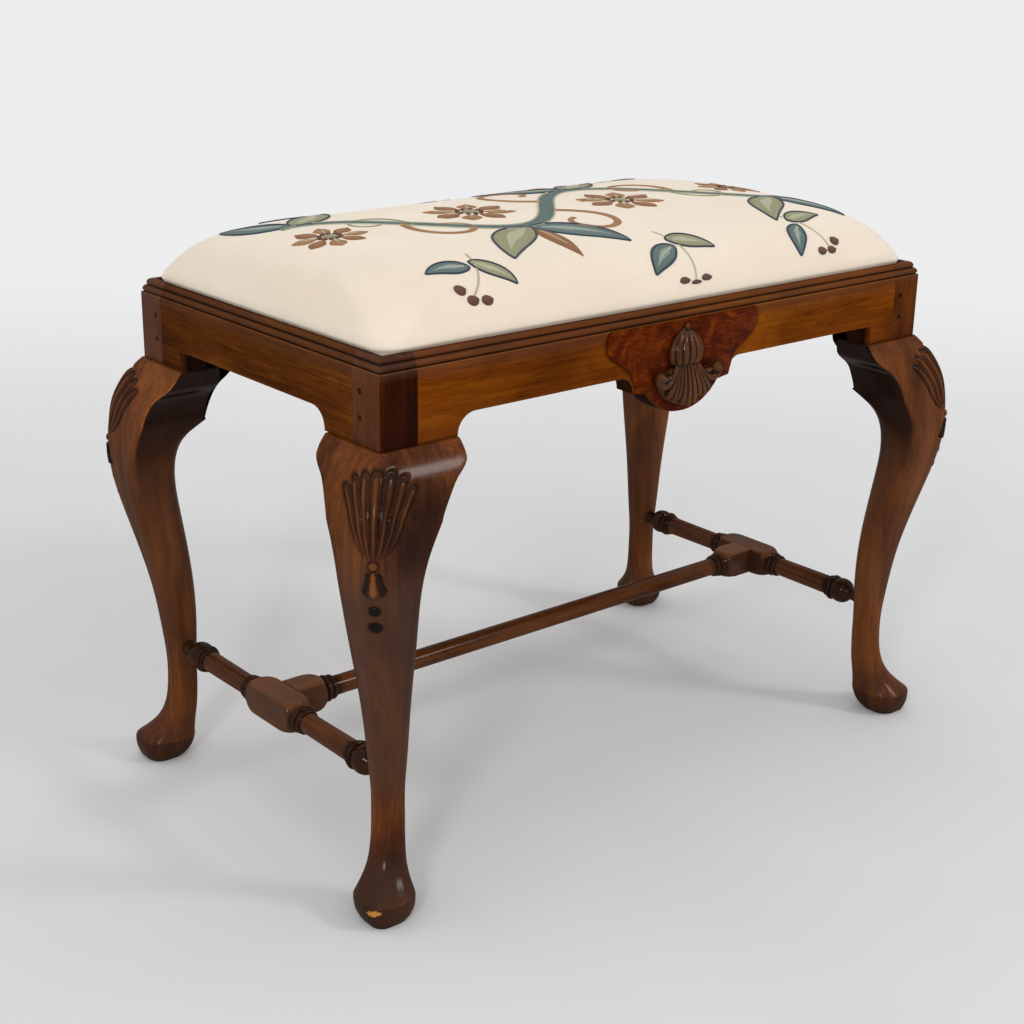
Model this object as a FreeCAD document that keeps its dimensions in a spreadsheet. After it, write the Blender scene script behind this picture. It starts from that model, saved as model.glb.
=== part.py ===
"""Cabriole-leg stool bench with a drop-in upholstered seat.

Millimetres. X runs along the length, the front faces -Y, Z is up, and the origin is on the floor
under the middle of the frame. The front left corner is modelled, and the other corners mirror it.
"""
import FreeCAD, Part
import math
import os
from types import SimpleNamespace

V = FreeCAD.Vector

# Driving sizes, in millimetres unless the note says otherwise.
SIZES = [
    ("frame_length", 610, "outer faces of the posts, along X"),
    ("frame_depth", 349, "outer faces of the posts, along Y"),
    ("leg_height", 381.5, "floor to the top of the knee, where the rails begin"),
    ("post_size", 34, "square post at the top of each leg"),
    ("rail_height", 52, "straight lower edge of a rail to the top of the frame"),
    ("rail_thick", 20, "thickness of a rail"),
    ("bracket_drop", 17, "depth of a rail's bracket end below its straight edge"),
    ("bracket_reach", 37, "length of a bracket end beyond the post"),
    ("lip_thick", 10, "rim of the frame outside the seat"),
    ("rebate_depth", 18, "depth of the ledge that carries the seat"),
    ("quirk_depth", 1, "step inwards under the moulding"),
    ("quirk_rise", 1.5, "plain strip under the moulding"),
    ("ovolo_radius", 7.5, "quarter round of the moulding"),
    ("bead_step", 1.5, "small step over the quarter round"),
    ("tenon_thick", 8, "rail tenon"),
    ("tenon_inset", 6, "rail tenon behind the outer face"),
    ("tenon_margin", 5, "rail tenon above the bracket and under the ledge"),
    ("tenon_apart", 2, "wood between the two mortises of a post"),
    ("joint_clear", 0.1, "play in mortises, sockets and holes"),
    ("peg_diameter", 6, "joint peg"),
    ("peg_grip", 5, "joint peg beyond the tenon"),
    ("peg_drop", 28, "upper peg below the top of the frame"),
    ("peg_pitch", 20, "lower peg below the upper one"),
    ("pendant_half", 54.5, "half width of the apron pendant at its shoulders"),
    ("pendant_cove", 14, "hollow quarter round beside the pendant"),
    ("pendant_step", 13.5, "shoulder of the pendant"),
    ("pendant_step_drop", 2, "fall of that shoulder"),
    ("pendant_drop", 37.5, "lowest point of the pendant below the straight edge"),
    ("plaque_thick", 2.5, "veneer panel on the apron"),
    ("plaque_half", 86, "half width of the panel at its widest"),
    ("plaque_waist", 62, "half width of the panel at the straight edge of the rail"),
    ("plaque_margin", 1, "panel inside the edges of the apron"),
    ("plaque_shoulder", 13, "widest place of the panel below its top"),
    ("shell_tip_drop", 3, "tip of the carved shell below the top of the panel"),
    ("shell_bud_height", 30, "bud of the carved shell"),
    ("shell_bud_width", 38, "bud of the carved shell"),
    ("shell_bud_proud", 12, "bud in front of the panel"),
    ("shell_neck_width", 20, "neck between bud and skirt"),
    ("shell_skirt_height", 36, "skirt of the carved shell"),
    ("shell_skirt_width", 76, "skirt of the carved shell"),
    ("shell_skirt_proud", 13, "skirt in front of the panel"),
    ("shell_edge_proud", 4, "tip, neck and lower rim in front of the panel"),
    ("knee_top_proud", 3, "knee in front of the post at the rail"),
    ("knee_mid_proud", 19, "knee in front of the post at the first ridge of the ear"),
    ("ridge_proud", 26.5, "knee in front of the post at the foot of the ear"),
    ("knee_round", 9, "rounding of the knee's outer edge"),
    ("ear_reach", 34, "ear beside the post at the rail"),
    ("ear_ridge_reach", 28, "ear beside the post at its ridge"),
    ("ear_ridge_drop", 17, "ridge of the ear below the knee's top"),
    ("ear_height", 53, "ear below the knee's top"),
    ("ear_toe", 0.8, "width of the ear at its lower end"),
    ("hollow_drop", 73, "hollow under the ear, below the knee's top"),
    ("hollow_proud", 28.3, "knee in front of the post there"),
    ("hollow_back", 23.5, "inner face of the leg there, behind the post's face"),
    ("crest_drop", 91, "crest of the knee below its top"),
    ("crest_proud", 28.8, "knee in front of the post at the crest"),
    ("crest_back", 20.7, "inner face of the leg there"),
    ("calf_drop", 141, "calf below the knee's top"),
    ("calf_proud", 21.8, "leg in front of the post there"),
    ("calf_back", 22.5, "inner face of the leg there"),
    ("shin_drop", 211, "shin below the knee's top"),
    ("shin_proud", 7.2, "leg in front of the post there"),
    ("shin_back", 28.3, "inner face of the leg there"),
    ("ankle_height", 98, "narrowest place of the leg above the floor"),
    ("ankle_back", 14.3, "axis of the ankle behind the post's face"),
    ("ankle_diameter", 27, "leg at its narrowest"),
    ("instep_height", 50, "instep above the floor"),
    ("instep_back", 8.5, "axis of the leg there, behind the post's face"),
    ("instep_diameter", 31, "leg there"),
    ("rim_height", 21, "rim of the pad foot above the floor"),
    ("foot_proud", 1, "axis of the pad foot in front of the post's face"),
    ("foot_diameter", 50, "pad foot at its rim"),
    ("sole_diameter", 38, "flat underside of the pad foot"),
    ("foot_roundness", 0.92, "rounding of the foot in plan, 1 for a full circle"),
    ("stretcher_height", 111.5, "axis of the stretchers above the floor"),
    ("rod_diameter", 17, "plain turned length of a stretcher"),
    ("neck_diameter", 14, "end of a side stretcher, let into the leg"),
    ("neck_length", 12.5, "neck between the leg and the ball"),
    ("socket_end", 1, "socket's floor short of the leg's axis"),
    ("ball_diameter", 23, "turned ball"),
    ("ball_width", 17, "turned ball along the stretcher"),
    ("ring_diameter", 25, "turned ring"),
    ("ring_width", 6, "turned ring along the stretcher"),
    ("ring_offset", 9, "ring beyond the end of a square block"),
    ("block_size", 26, "square block of a stretcher"),
    ("block_length", 66, "square block of a side stretcher"),
    ("centre_block_length", 31, "square end block of the centre stretcher"),
    ("pommel_round", 9, "turned shoulder of a square block"),
    ("dowel_diameter", 12, "round end of the centre stretcher"),
    ("dowel_length", 10, "round end of the centre stretcher in the side block"),
    ("corner_reach", 46, "corner block along a rail beyond the post"),
    ("corner_height", 24, "corner block"),
    ("screw_diameter", 4, "corner block screw"),
    ("screw_head", 8, "its head"),
    ("screw_head_height", 3, "its head"),
    ("screw_under", 9, "corner block under the screw's head"),
    ("screw_bite", 12, "screw in the rail"),
    ("screw_place", 20, "screw beyond the post"),
    ("seat_gap", 1, "play of the seat in the frame, all round"),
    ("seat_rest", 0.3, "cloth over the ledge"),
    ("cover_thick", 1.5, "cloth of the cover"),
    ("cover_corner", 14, "corner of the cover in plan"),
    ("cover_turn", 26, "cover turned under the seat frame"),
    ("seat_rail_width", 45, "piece of the seat frame"),
    ("seat_rail_thick", 16, "piece of the seat frame"),
    ("web_width", 50, "strip of webbing"),
    ("web_thick", 1.2, "strip of webbing"),
    ("web_inset", 8, "webbing inside the edge of the seat frame"),
    ("web_long_count", 3, "strips along the seat"),
    ("web_cross_count", 6, "strips across the seat"),
    ("hessian_thick", 0.8, "hessian over the webbing"),
    ("fill_gap", 0.3, "stuffing clear of the cloth round it"),
    ("crown_rise", 53, "top of the seat above the frame"),
    ("crown_root", 20, "start of the seat's side curve below the top of the frame"),
    ("crown_bend", 0.254, "roundness of the seat's shoulders, a power"),
    ("crown_end_power", 9.5, "fullness of the seat towards its ends, a power"),
    ("crown_side_power", 3.3, "fullness of the seat towards its sides, a power"),
    ("crown_corner", 80, "growth of the seat's corners in plan, from its foot to its top"),
    ("tack_head", 8, "tack under the seat frame"),
    ("tack_head_thick", 1, "its head"),
    ("tack_shank", 2, "its shank"),
    ("tack_length", 9, "its shank"),
    ("tack_pitch", 62, "tacks along the edge"),
    ("tack_edge", 18, "tacks inside the edge of the seat frame"),
]

doc = FreeCAD.newDocument("StoolBench")
sheet = doc.addObject("Spreadsheet::Sheet", "Sizes")
for row, (alias, value, note) in enumerate(SIZES, 1):
    sheet.set("A%d" % row, note)
    sheet.set("B%d" % row, str(value))
    sheet.setAlias("B%d" % row, alias)
doc.recompute()


class Size:
    """A size with its value and the expression that gives it from the sheet."""

    def __init__(self, value, text):
        self.value = float(value)
        self.text = text

    def __float__(self):
        return self.value

    def __add__(self, other):
        return Size(self.value + float(other), "(%s + %s)" % (self.text, text_of(other)))

    def __sub__(self, other):
        return Size(self.value - float(other), "(%s - %s)" % (self.text, text_of(other)))

    def __mul__(self, other):
        return Size(self.value * float(other), "(%s * %s)" % (self.text, text_of(other)))

    def __truediv__(self, other):
        return Size(self.value / float(other), "(%s / %s)" % (self.text, text_of(other)))

    def __neg__(self):
        return Size(-self.value, "(0 - %s)" % self.text)


def text_of(size):
    """The expression of a size, or a plain number as text."""
    return size.text if isinstance(size, Size) else repr(float(size))


S = SimpleNamespace(**{alias: Size(sheet.get(alias), "Sizes." + alias) for alias, _, _ in SIZES})

# Places that follow from the driving sizes.
half_length = S.frame_length / 2
half_depth = S.frame_depth / 2
rail_low = S.leg_height + S.bracket_drop
frame_top = rail_low + S.rail_height
ledge = frame_top - S.rebate_depth
moulding_low = frame_top - S.quirk_rise - S.ovolo_radius - S.bead_step
tenon_length = S.post_size - S.tenon_inset - S.tenon_thick - S.tenon_apart
tenon_low = S.leg_height + S.tenon_margin
tenon_high = ledge - S.tenon_margin
peg_place = S.post_size - tenon_length / 2
peg_length = S.tenon_inset + S.tenon_thick + S.peg_grip
peg_heights = [frame_top - S.peg_drop, frame_top - S.peg_drop - S.peg_pitch]
ridge_height = S.leg_height - S.ear_height
seat_bottom = ledge + S.seat_rest
seat_frame_low = seat_bottom + S.cover_thick
seat_frame_high = seat_frame_low + S.seat_rail_thick
cover_half_x = half_length - S.lip_thick - S.seat_gap
cover_half_y = half_depth - S.lip_thick - S.seat_gap
seat_half_x = cover_half_x - S.cover_thick - S.joint_clear
seat_half_y = cover_half_y - S.cover_thick - S.joint_clear
web_high = seat_frame_high + S.web_thick
hessian_low = web_high + S.web_thick
hessian_high = hessian_low + S.hessian_thick
crown_foot = seat_frame_high + S.joint_clear
screw_at = S.post_size + S.screw_place


# Small helpers for bodies, outlines and features.

def bind(obj, path, size):
    """Tie a property of a document object to the sheet."""
    obj.setExpression(path, text_of(size))


def place(obj, x, y, z, turn=0):
    """Put a document object at a place that follows the sheet, turned about Z."""
    obj.Placement = FreeCAD.Placement(V(float(x), float(y), float(z)), FreeCAD.Rotation(V(0, 0, 1), turn))
    bind(obj, "Placement.Base.x", x)
    bind(obj, "Placement.Base.y", y)
    bind(obj, "Placement.Base.z", z)


def new_body(label):
    """An empty body with its label."""
    piece = doc.addObject("PartDesign::Body", label)
    piece.Label = label
    return piece


def point(pair):
    """A point in a sketch from two sizes."""
    return V(float(pair[0]), float(pair[1]), 0)


def flat_sketch(piece, role, offset):
    """An empty sketch on one of the body's own planes, moved along that plane's normal."""
    outline = piece.newObject("Sketcher::SketchObject", "Outline")
    plane = next(feature for feature in piece.Origin.OriginFeatures if feature.Role == role)
    outline.AttachmentSupport = [(plane, "")]
    outline.MapMode = "FlatFace"
    bind(outline, "AttachmentOffset.Base.z", offset)
    return outline


def draw(outline, start, steps):
    """Draw a closed outline. A step is an end point, or a middle and an end point for an arc.

    A step to the point where the outline already is draws nothing.
    """
    here = start
    for step in steps:
        if isinstance(step[0], tuple):
            outline.addGeometry(Part.Arc(point(here), point(step[0]), point(step[1])), False)
            here = step[1]
        elif point(here).distanceToPoint(point(step)) > 1e-6:
            outline.addGeometry(Part.LineSegment(point(here), point(step)), False)
            here = step
    return outline


def box_steps(left, low, right, high):
    """Start and steps of a rectangle."""
    return (left, low), [(right, low), (right, high), (left, high), (left, low)]


def pad(piece, outline, length, reverse=False, symmetric=False):
    """Extrude an outline along its plane's normal."""
    feature = piece.newObject("PartDesign::Pad", "Pad")
    feature.Profile = outline
    bind(feature, "Length", length)
    feature.Reversed = reverse
    feature.SideType = "Symmetric" if symmetric else "One side"
    return feature


def pocket(piece, outline, length=None, reverse=False, symmetric=False):
    """Cut an outline against its plane's normal, right through where no length is given."""
    feature = piece.newObject("PartDesign::Pocket", "Pocket")
    feature.Profile = outline
    if length is None:
        feature.Type = "ThroughAll"
    else:
        bind(feature, "Length", length)
    feature.Reversed = reverse
    feature.SideType = "Symmetric" if symmetric else "One side"
    return feature


def loft(piece, outlines, kind="PartDesign::AdditiveLoft"):
    """A smooth loft through outlines."""
    feature = piece.newObject(kind, "Loft")
    feature.Profile = outlines[0]
    feature.Sections = outlines[1:]
    return feature


def turned(piece, outline, axis, kind="PartDesign::Revolution"):
    """Turn an outline full circle about one of the body's own axes."""
    feature = piece.newObject(kind, "Turned")
    feature.Profile = outline
    line = next(part for part in piece.Origin.OriginFeatures if part.Role == axis)
    feature.ReferenceAxis = (line, [""])
    feature.Angle = 360
    return feature


def mirror(source, label, normal, base=None):
    """Mirror an object in a plane through the origin, or through a base point."""
    copy = doc.addObject("Part::Mirroring", label)
    copy.Label = label
    copy.Source = source
    copy.Normal = normal
    if base:
        bind(copy, "Base.x", base[0])
        bind(copy, "Base.y", base[1])
    return copy


def group(members, label):
    """Separate solids that share one node."""
    bundle = doc.addObject("Part::Compound", label)
    bundle.Label = label
    bundle.Links = members
    return bundle


def block(label, x, y, z, length, width, height):
    """A box whose corner and sides follow the sheet."""
    piece = doc.addObject("Part::Box", label)
    piece.Label = label
    bind(piece, "Length", length)
    bind(piece, "Width", width)
    bind(piece, "Height", height)
    place(piece, x, y, z)
    return piece


def pin(label, diameter, length, start, along):
    """A round bar from a start point along a direction."""
    piece = doc.addObject("Part::Cylinder", label)
    piece.Label = label
    bind(piece, "Radius", diameter / 2)
    bind(piece, "Height", length)
    piece.Placement = FreeCAD.Placement(V(0, 0, 0), FreeCAD.Rotation(V(0, 0, 1), along))
    bind(piece, "Placement.Base.x", start[0])
    bind(piece, "Placement.Base.y", start[1])
    bind(piece, "Placement.Base.z", start[2])
    return piece


ACROSS_X = V(1, 0, 0)
ACROSS_Y = V(0, 1, 0)
DIAGONAL = V(1, -1, 0)
CORNER = (-half_length, -half_depth)


def four_corners(source, stem):
    """The front left object and its mirror images at the other three corners."""
    source.Label = stem % "front_left"
    front_right = mirror(source, stem % "front_right", ACROSS_X)
    back_left = mirror(source, stem % "back_left", ACROSS_Y)
    back_right = mirror(front_right, stem % "back_right", ACROSS_Y)
    return [source, front_right, back_left, back_right]


# Frame: moulding, posts and legs. A corner's own frame has its origin at the post's outer corner.

def moulding_waste(outline):
    """The wood that the moulding plane takes off a top edge."""
    corner_in = S.quirk_depth + S.ovolo_radius
    arc_low = moulding_low + S.quirk_rise
    lean = S.ovolo_radius * (1 - math.sqrt(0.5))
    middle = (S.quirk_depth + lean, arc_low + S.ovolo_radius - lean)
    arc_high = arc_low + S.ovolo_radius
    over = frame_top + S.bead_step
    outside = -S.bead_step
    steps = [(S.quirk_depth, moulding_low), (S.quirk_depth, arc_low), (middle, (corner_in, arc_high)),
             (corner_in, over), (outside, over), (outside, moulding_low)]
    return draw(outline, (outside, moulding_low), steps)


def rounded_square(outline, proud, back, near_round, side_round, far_round):
    """A square on the leg's diagonal with its own rounding at the outer, side and inner corners."""
    near = -float(proud)
    far = float(back)
    corners = [(far, near, side_round), (far, far, far_round), (near, far, side_round), (near, near, near_round)]
    ways = [(1, 0), (0, 1), (-1, 0), (0, -1)]
    start = (near + near_round, near)
    steps = []
    for (x, y, radius), way, turn in zip(corners, ways, ways[1:] + ways[:1]):
        steps.append((x - way[0] * radius, y - way[1] * radius))
        if radius:
            dip = radius * (1 - math.sqrt(0.5))
            middle = (x - (way[0] - turn[0]) * dip, y - (way[1] - turn[1]) * dip)
            steps.append((middle, (x + turn[0] * radius, y + turn[1] * radius)))
    return draw(outline, start, steps)


def knee_arc():
    """Circle of the knee's face, as centre and radius in the plane of (proud, height)."""
    top = V(float(S.knee_top_proud), float(S.leg_height), 0)
    middle = V(float(S.knee_mid_proud), float(S.leg_height - S.ear_ridge_drop * 1.4), 0)
    low = V(float(S.ridge_proud), float(ridge_height), 0)
    return top, middle, low, Part.Arc(top, middle, low).toShape().Curve


def knee_proud(height):
    """How far the knee stands in front of the post at a height in the ear's range."""
    curve = knee_arc()[3]
    rise = height - curve.Center.y
    return curve.Center.x + math.sqrt(curve.Radius ** 2 - rise ** 2)


def leg():
    """Post, knee, shank and pad foot of the front left corner, with its mortises and holes."""
    piece = new_body("leg_front_left")
    post = draw(flat_sketch(piece, "XY_Plane", ridge_height), *box_steps(0, 0, S.post_size, S.post_size))
    pad(piece, post, frame_top - ridge_height)

    # Knee, as wide as the ears beside it and flat where they are glued on.
    knee = []
    for share in (0, 0.2, 0.4, 0.6, 0.8, 1):
        level = S.leg_height - S.ear_height * share
        outline = flat_sketch(piece, "XY_Plane", level)
        proud = knee_proud(float(level))
        knee.append(rounded_square(outline, proud, S.post_size, float(S.knee_round), 0, 0))
    loft(piece, knee)

    # Shank, from the foot of the ear down to the rim of the foot.
    ankle_half = S.ankle_diameter / 2
    instep_half = S.instep_diameter / 2
    foot_half = S.foot_diameter / 2
    stations = [
        (ridge_height, S.ridge_proud, S.post_size, 0.30),
        (S.leg_height - S.hollow_drop, S.hollow_proud, S.hollow_back, 0.36),
        (S.leg_height - S.crest_drop, S.crest_proud, S.crest_back, 0.46),
        (S.leg_height - S.calf_drop, S.calf_proud, S.calf_back, 0.72),
        (S.leg_height - S.shin_drop, S.shin_proud, S.shin_back, 0.84),
        (S.ankle_height, ankle_half - S.ankle_back, ankle_half + S.ankle_back, 0.88),
        (S.instep_height, instep_half - S.instep_back, instep_half + S.instep_back, 0.90),
        (S.rim_height, foot_half + S.foot_proud, foot_half - S.foot_proud, float(S.foot_roundness)),
    ]
    shank = []
    for level, proud, back, share in stations:
        radius = float(proud + back) / 2 * share
        first = not shank
        outline = flat_sketch(piece, "XY_Plane", level)
        near_round = float(S.knee_round) if first else radius
        inner_round = float(S.ear_toe) if first else radius
        shank.append(rounded_square(outline, proud, back, near_round, inner_round, inner_round))
    loft(piece, shank)

    # Pad foot below its rim.
    sole_half = S.sole_diameter / 2
    foot = []
    for share in (1, 0.6, 0.22, 0):
        half = sole_half + (foot_half - sole_half) * math.sqrt(1 - (1 - share) ** 2)
        outline = flat_sketch(piece, "XY_Plane", S.rim_height * share)
        radius = float(half * S.foot_roundness)
        foot.append(rounded_square(outline, half + S.foot_proud, half - S.foot_proud, radius, radius, radius))
    loft(piece, foot)

    # Moulding on both outer edges, and the corner of the seat's rebate.
    pocket(piece, moulding_waste(flat_sketch(piece, "YZ_Plane", 0)), symmetric=True)
    pocket(piece, moulding_waste(flat_sketch(piece, "XZ_Plane", 0)), symmetric=True)
    well = flat_sketch(piece, "XY_Plane", frame_top)
    beyond = S.post_size + S.joint_clear
    draw(well, *box_steps(S.lip_thick, S.lip_thick, beyond, beyond))
    pocket(piece, well, S.rebate_depth)

    # Mortises for the two rails, then the peg holes on the same two faces.
    low = tenon_low - S.joint_clear
    high = tenon_high + S.joint_clear
    near = S.tenon_inset - S.joint_clear
    far = S.tenon_inset + S.tenon_thick + S.joint_clear
    depth = tenon_length + S.joint_clear
    pocket(piece, draw(flat_sketch(piece, "YZ_Plane", S.post_size), *box_steps(near, low, far, high)), depth)
    pocket(piece, draw(flat_sketch(piece, "XZ_Plane", -S.post_size), *box_steps(near, low, far, high)), depth,
           reverse=True)
    drill = S.peg_diameter / 2 + S.joint_clear / 2
    for role, reverse in (("XZ_Plane", False), ("YZ_Plane", True)):
        holes = flat_sketch(piece, role, 0)
        for level in peg_heights:
            holes.addGeometry(Part.Circle(point((peg_place, level)), V(0, 0, 1), float(drill)), False)
        pocket(piece, holes, peg_length + S.joint_clear, reverse=reverse)

    # Socket for the side stretcher, from just short of the ankle's axis inwards.
    socket = flat_sketch(piece, "XZ_Plane", -S.ankle_back - S.socket_end)
    bore = S.neck_diameter / 2 + S.joint_clear
    socket.addGeometry(Part.Circle(point((S.ankle_back, S.stretcher_height)), V(0, 0, 1), float(bore)), False)
    pocket(piece, socket, S.post_size + S.ankle_diameter)
    place(piece, CORNER[0], CORNER[1], 0)
    return piece


def knee_block():
    """The ear glued beside the knee, under the front rail at the left."""
    piece = new_body("knee_block_front_left_long")
    inner = S.post_size
    top = S.leg_height
    ridge = (inner + S.ear_ridge_reach, top - S.ear_ridge_drop)
    swell = (inner + (S.ear_reach + S.ear_ridge_reach) / 2 + 1, top - S.ear_ridge_drop / 2)
    toe = (inner + S.ear_toe, ridge_height)
    bow = ((ridge[0] + toe[0]) / 2 - S.ear_ridge_reach / 4, (ridge[1] + toe[1]) / 2 + S.ear_ridge_drop / 8)
    ear = flat_sketch(piece, "XZ_Plane", -S.post_size)
    steps = [(inner + S.ear_reach, top), (swell, ridge), (bow, toe), (inner, ridge_height), (inner, top)]
    draw(ear, (inner, top), steps)
    pad(piece, ear, S.post_size + S.ridge_proud)

    # Face of the ear, on the same curve as the knee.
    high, middle, low, _ = knee_arc()
    outside = S.ridge_proud + S.knee_round
    waste = flat_sketch(piece, "YZ_Plane", 0)
    steps = [((-middle.x, middle.y), (-low.x, low.y)), (-outside, low.y), (-outside, high.y), (-high.x, high.y)]
    draw(waste, (-high.x, high.y), steps)
    pocket(piece, waste, symmetric=True)
    place(piece, CORNER[0], CORNER[1], 0)
    return piece


# Rails, in a frame with the origin on the floor under the middle of the outer face.

def rail_outline(half, pendant):
    """Front outline of a rail between its posts, with bracket ends and, on the long sides, a pendant."""
    bend = S.bracket_drop * math.sqrt(0.5)
    bracket = half - S.bracket_reach
    centre = bracket - S.bracket_drop
    steps = [(half, frame_top), (half, S.leg_height), (bracket, S.leg_height),
             ((centre + bend, S.leg_height + bend), (centre, rail_low))]
    if pendant:
        steps += pendant_steps(0)
    steps += [(-centre, rail_low), ((-centre - bend, S.leg_height + bend), (-bracket, S.leg_height)),
              (-half, S.leg_height), (-half, frame_top)]
    return (-half, frame_top), steps


def pendant_steps(margin):
    """Lower outline of the apron's pendant from right to left, a margin inside its edge."""
    half = S.pendant_half - margin
    cove = S.pendant_cove
    bend = cove * math.sqrt(0.5)
    low = rail_low - cove
    drop_half = half - S.pendant_step
    drop_low = low - S.pendant_step_drop
    bottom = rail_low - S.pendant_drop + margin
    return [(half + cove, rail_low), ((half + cove - bend, low + bend), (half, low)), (drop_half, drop_low),
            ((0, bottom), (-drop_half, drop_low)), (-half, low),
            ((-half - cove + bend, low + bend), (-half - cove, rail_low))]


def rail(label, span, pendant):
    """A rail with its moulded edge, seat ledge, tenons, peg holes and screw holes."""
    piece = new_body(label)
    half = span / 2 - S.post_size
    pad(piece, draw(flat_sketch(piece, "XZ_Plane", 0), *rail_outline(half, pendant)), S.rail_thick, reverse=True)
    pocket(piece, moulding_waste(flat_sketch(piece, "YZ_Plane", 0)), symmetric=True)
    over = frame_top + S.bead_step
    rebate = draw(flat_sketch(piece, "YZ_Plane", 0),
                  *box_steps(S.lip_thick, ledge, S.rail_thick + S.bead_step, over))
    pocket(piece, rebate, symmetric=True)
    for side in (-1, 1):
        tenon = flat_sketch(piece, "YZ_Plane", half * side)
        draw(tenon, *box_steps(S.tenon_inset, tenon_low, S.tenon_inset + S.tenon_thick, tenon_high))
        pad(piece, tenon, tenon_length, reverse=side < 0)
    drill = S.peg_diameter / 2 + S.joint_clear / 2
    holes = flat_sketch(piece, "XZ_Plane", 0)
    pilots = flat_sketch(piece, "XZ_Plane", -S.rail_thick)
    for side in (-1, 1):
        for level in peg_heights:
            spot = ((span / 2 - peg_place) * side, level)
            holes.addGeometry(Part.Circle(point(spot), V(0, 0, 1), float(drill)), False)
        spot = ((span / 2 - screw_at) * side, ledge - S.corner_height / 2)
        pilots.addGeometry(Part.Circle(point(spot), V(0, 0, 1), float(S.screw_diameter / 2 + S.joint_clear)), False)
    pocket(piece, holes, S.rail_thick)
    pocket(piece, pilots, S.screw_bite + S.joint_clear, reverse=True)
    return piece


# Apron panel and its carved shell, in the frame of the front rail.

def plaque():
    """The veneer panel on the front of the apron."""
    piece = new_body("front_apron_plaque")
    top = moulding_low - S.plaque_margin
    wide = (S.plaque_half, top - S.plaque_shoulder)
    upper = (S.plaque_half - S.plaque_margin, top - S.plaque_shoulder / 2)
    waist = (S.plaque_waist, rail_low + S.pendant_step_drop)
    hollow = ((wide[0] + waist[0]) / 2 + S.plaque_margin * 3, (wide[1] + waist[1]) / 2 + S.plaque_margin)
    shoulder = S.plaque_half - S.plaque_margin * 3
    lower = pendant_steps(S.plaque_margin)
    steps = [(shoulder, top), (upper, wide), (hollow, waist), lower[1][1]] + lower[2:4] + [lower[4]]
    steps += [(-waist[0], waist[1]), ((-hollow[0], hollow[1]), (-wide[0], wide[1])),
              ((-upper[0], upper[1]), (-shoulder, top))]
    pad(piece, draw(flat_sketch(piece, "XZ_Plane", 0), (-shoulder, top), steps), S.plaque_thick)
    place(piece, 0, -half_depth, 0)
    return piece


def shell():
    """The carved bud and flared skirt on the panel."""
    piece = new_body("front_apron_shell")
    top = moulding_low - S.plaque_margin - S.shell_tip_drop
    neck = top - S.shell_bud_height
    foot = neck - S.shell_skirt_height
    stations = [
        (top, S.shell_neck_width / 4, S.shell_edge_proud / 2),
        (top - S.shell_bud_height * 0.25, S.shell_bud_width * 0.8, S.shell_bud_proud * 0.8),
        (top - S.shell_bud_height * 0.6, S.shell_bud_width, S.shell_bud_proud),
        (neck, S.shell_neck_width, S.shell_edge_proud),
        (neck - S.shell_skirt_height * 0.35, S.shell_skirt_width * 0.6, S.shell_skirt_proud * 0.75),
        (neck - S.shell_skirt_height * 0.72, S.shell_skirt_width, S.shell_skirt_proud),
        (foot, S.shell_skirt_width * 0.6, S.shell_edge_proud),
    ]
    outlines = []
    face = -S.plaque_thick
    for level, width, proud in stations:
        outline = flat_sketch(piece, "XY_Plane", level)
        steps = [((0, face - proud), (width / 2, face)), (-width / 2, face)]
        outlines.append(draw(outline, (-width / 2, face), steps))
    loft(piece, outlines)
    place(piece, 0, -half_depth, 0)
    return piece


# Stretchers.

def bead(outline_steps, at, radius, width, root):
    """Add a round bead to a turned outline, as steps of (along, radius) pairs."""
    outline_steps.append((at - width / 2, root))
    outline_steps.append(((at, radius), (at + width / 2, root)))


def turned_half(beads, end, end_radius, root):
    """Turned outline from the middle to one end, as (along, radius) steps."""
    steps = []
    for at, radius, width, foot in beads:
        bead(steps, at, radius, width, foot)
    last = steps[-1][1]
    steps.append((last[0], end_radius))
    steps.append((end, end_radius))
    return [(0, root)] + steps


def turned_outline(outline, half_steps, flip):
    """Draw a turned outline, the same towards both ends, closed along its axis."""
    def spot(pair, side):
        along = pair[0] * side
        return (pair[1], along) if flip else (along, pair[1])

    forward = []
    back = []
    here = half_steps[0]
    for step in half_steps[1:]:
        if isinstance(step[0], tuple):
            forward.append((spot(step[0], 1), spot(step[1], 1)))
            back.insert(0, (spot(step[0], -1), spot(here, -1)))
            here = step[1]
        else:
            forward.append(spot(step, 1))
            back.insert(0, spot(here, -1))
            here = step
    end = here[0]
    start = spot((end, 0), -1)
    return draw(outline, start, [spot(here, -1)] + back + forward + [spot((end, 0), 1), start])


def pommel_waste(outline, end, way, flip):
    """The corners that turning takes off the end of a square block."""
    half = S.block_size / 2
    outer = half * 1.6
    root = S.rod_diameter / 2 + S.joint_clear
    inner_end = end - S.pommel_round * way
    middle = (outer * 0.35 + root * 0.65 + half * 0.42, end - S.pommel_round * 0.34 * way)
    past = end + S.joint_clear * way
    pairs = [(root, end), (root, past), (outer, past), (outer, inner_end)]
    turn = (lambda pair: pair) if flip else (lambda pair: (pair[1], pair[0]))
    steps = [turn(pairs[1]), turn(pairs[2]), turn(pairs[3]), (turn(middle), turn(pairs[0]))]
    return draw(outline, turn(pairs[0]), steps)


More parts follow.
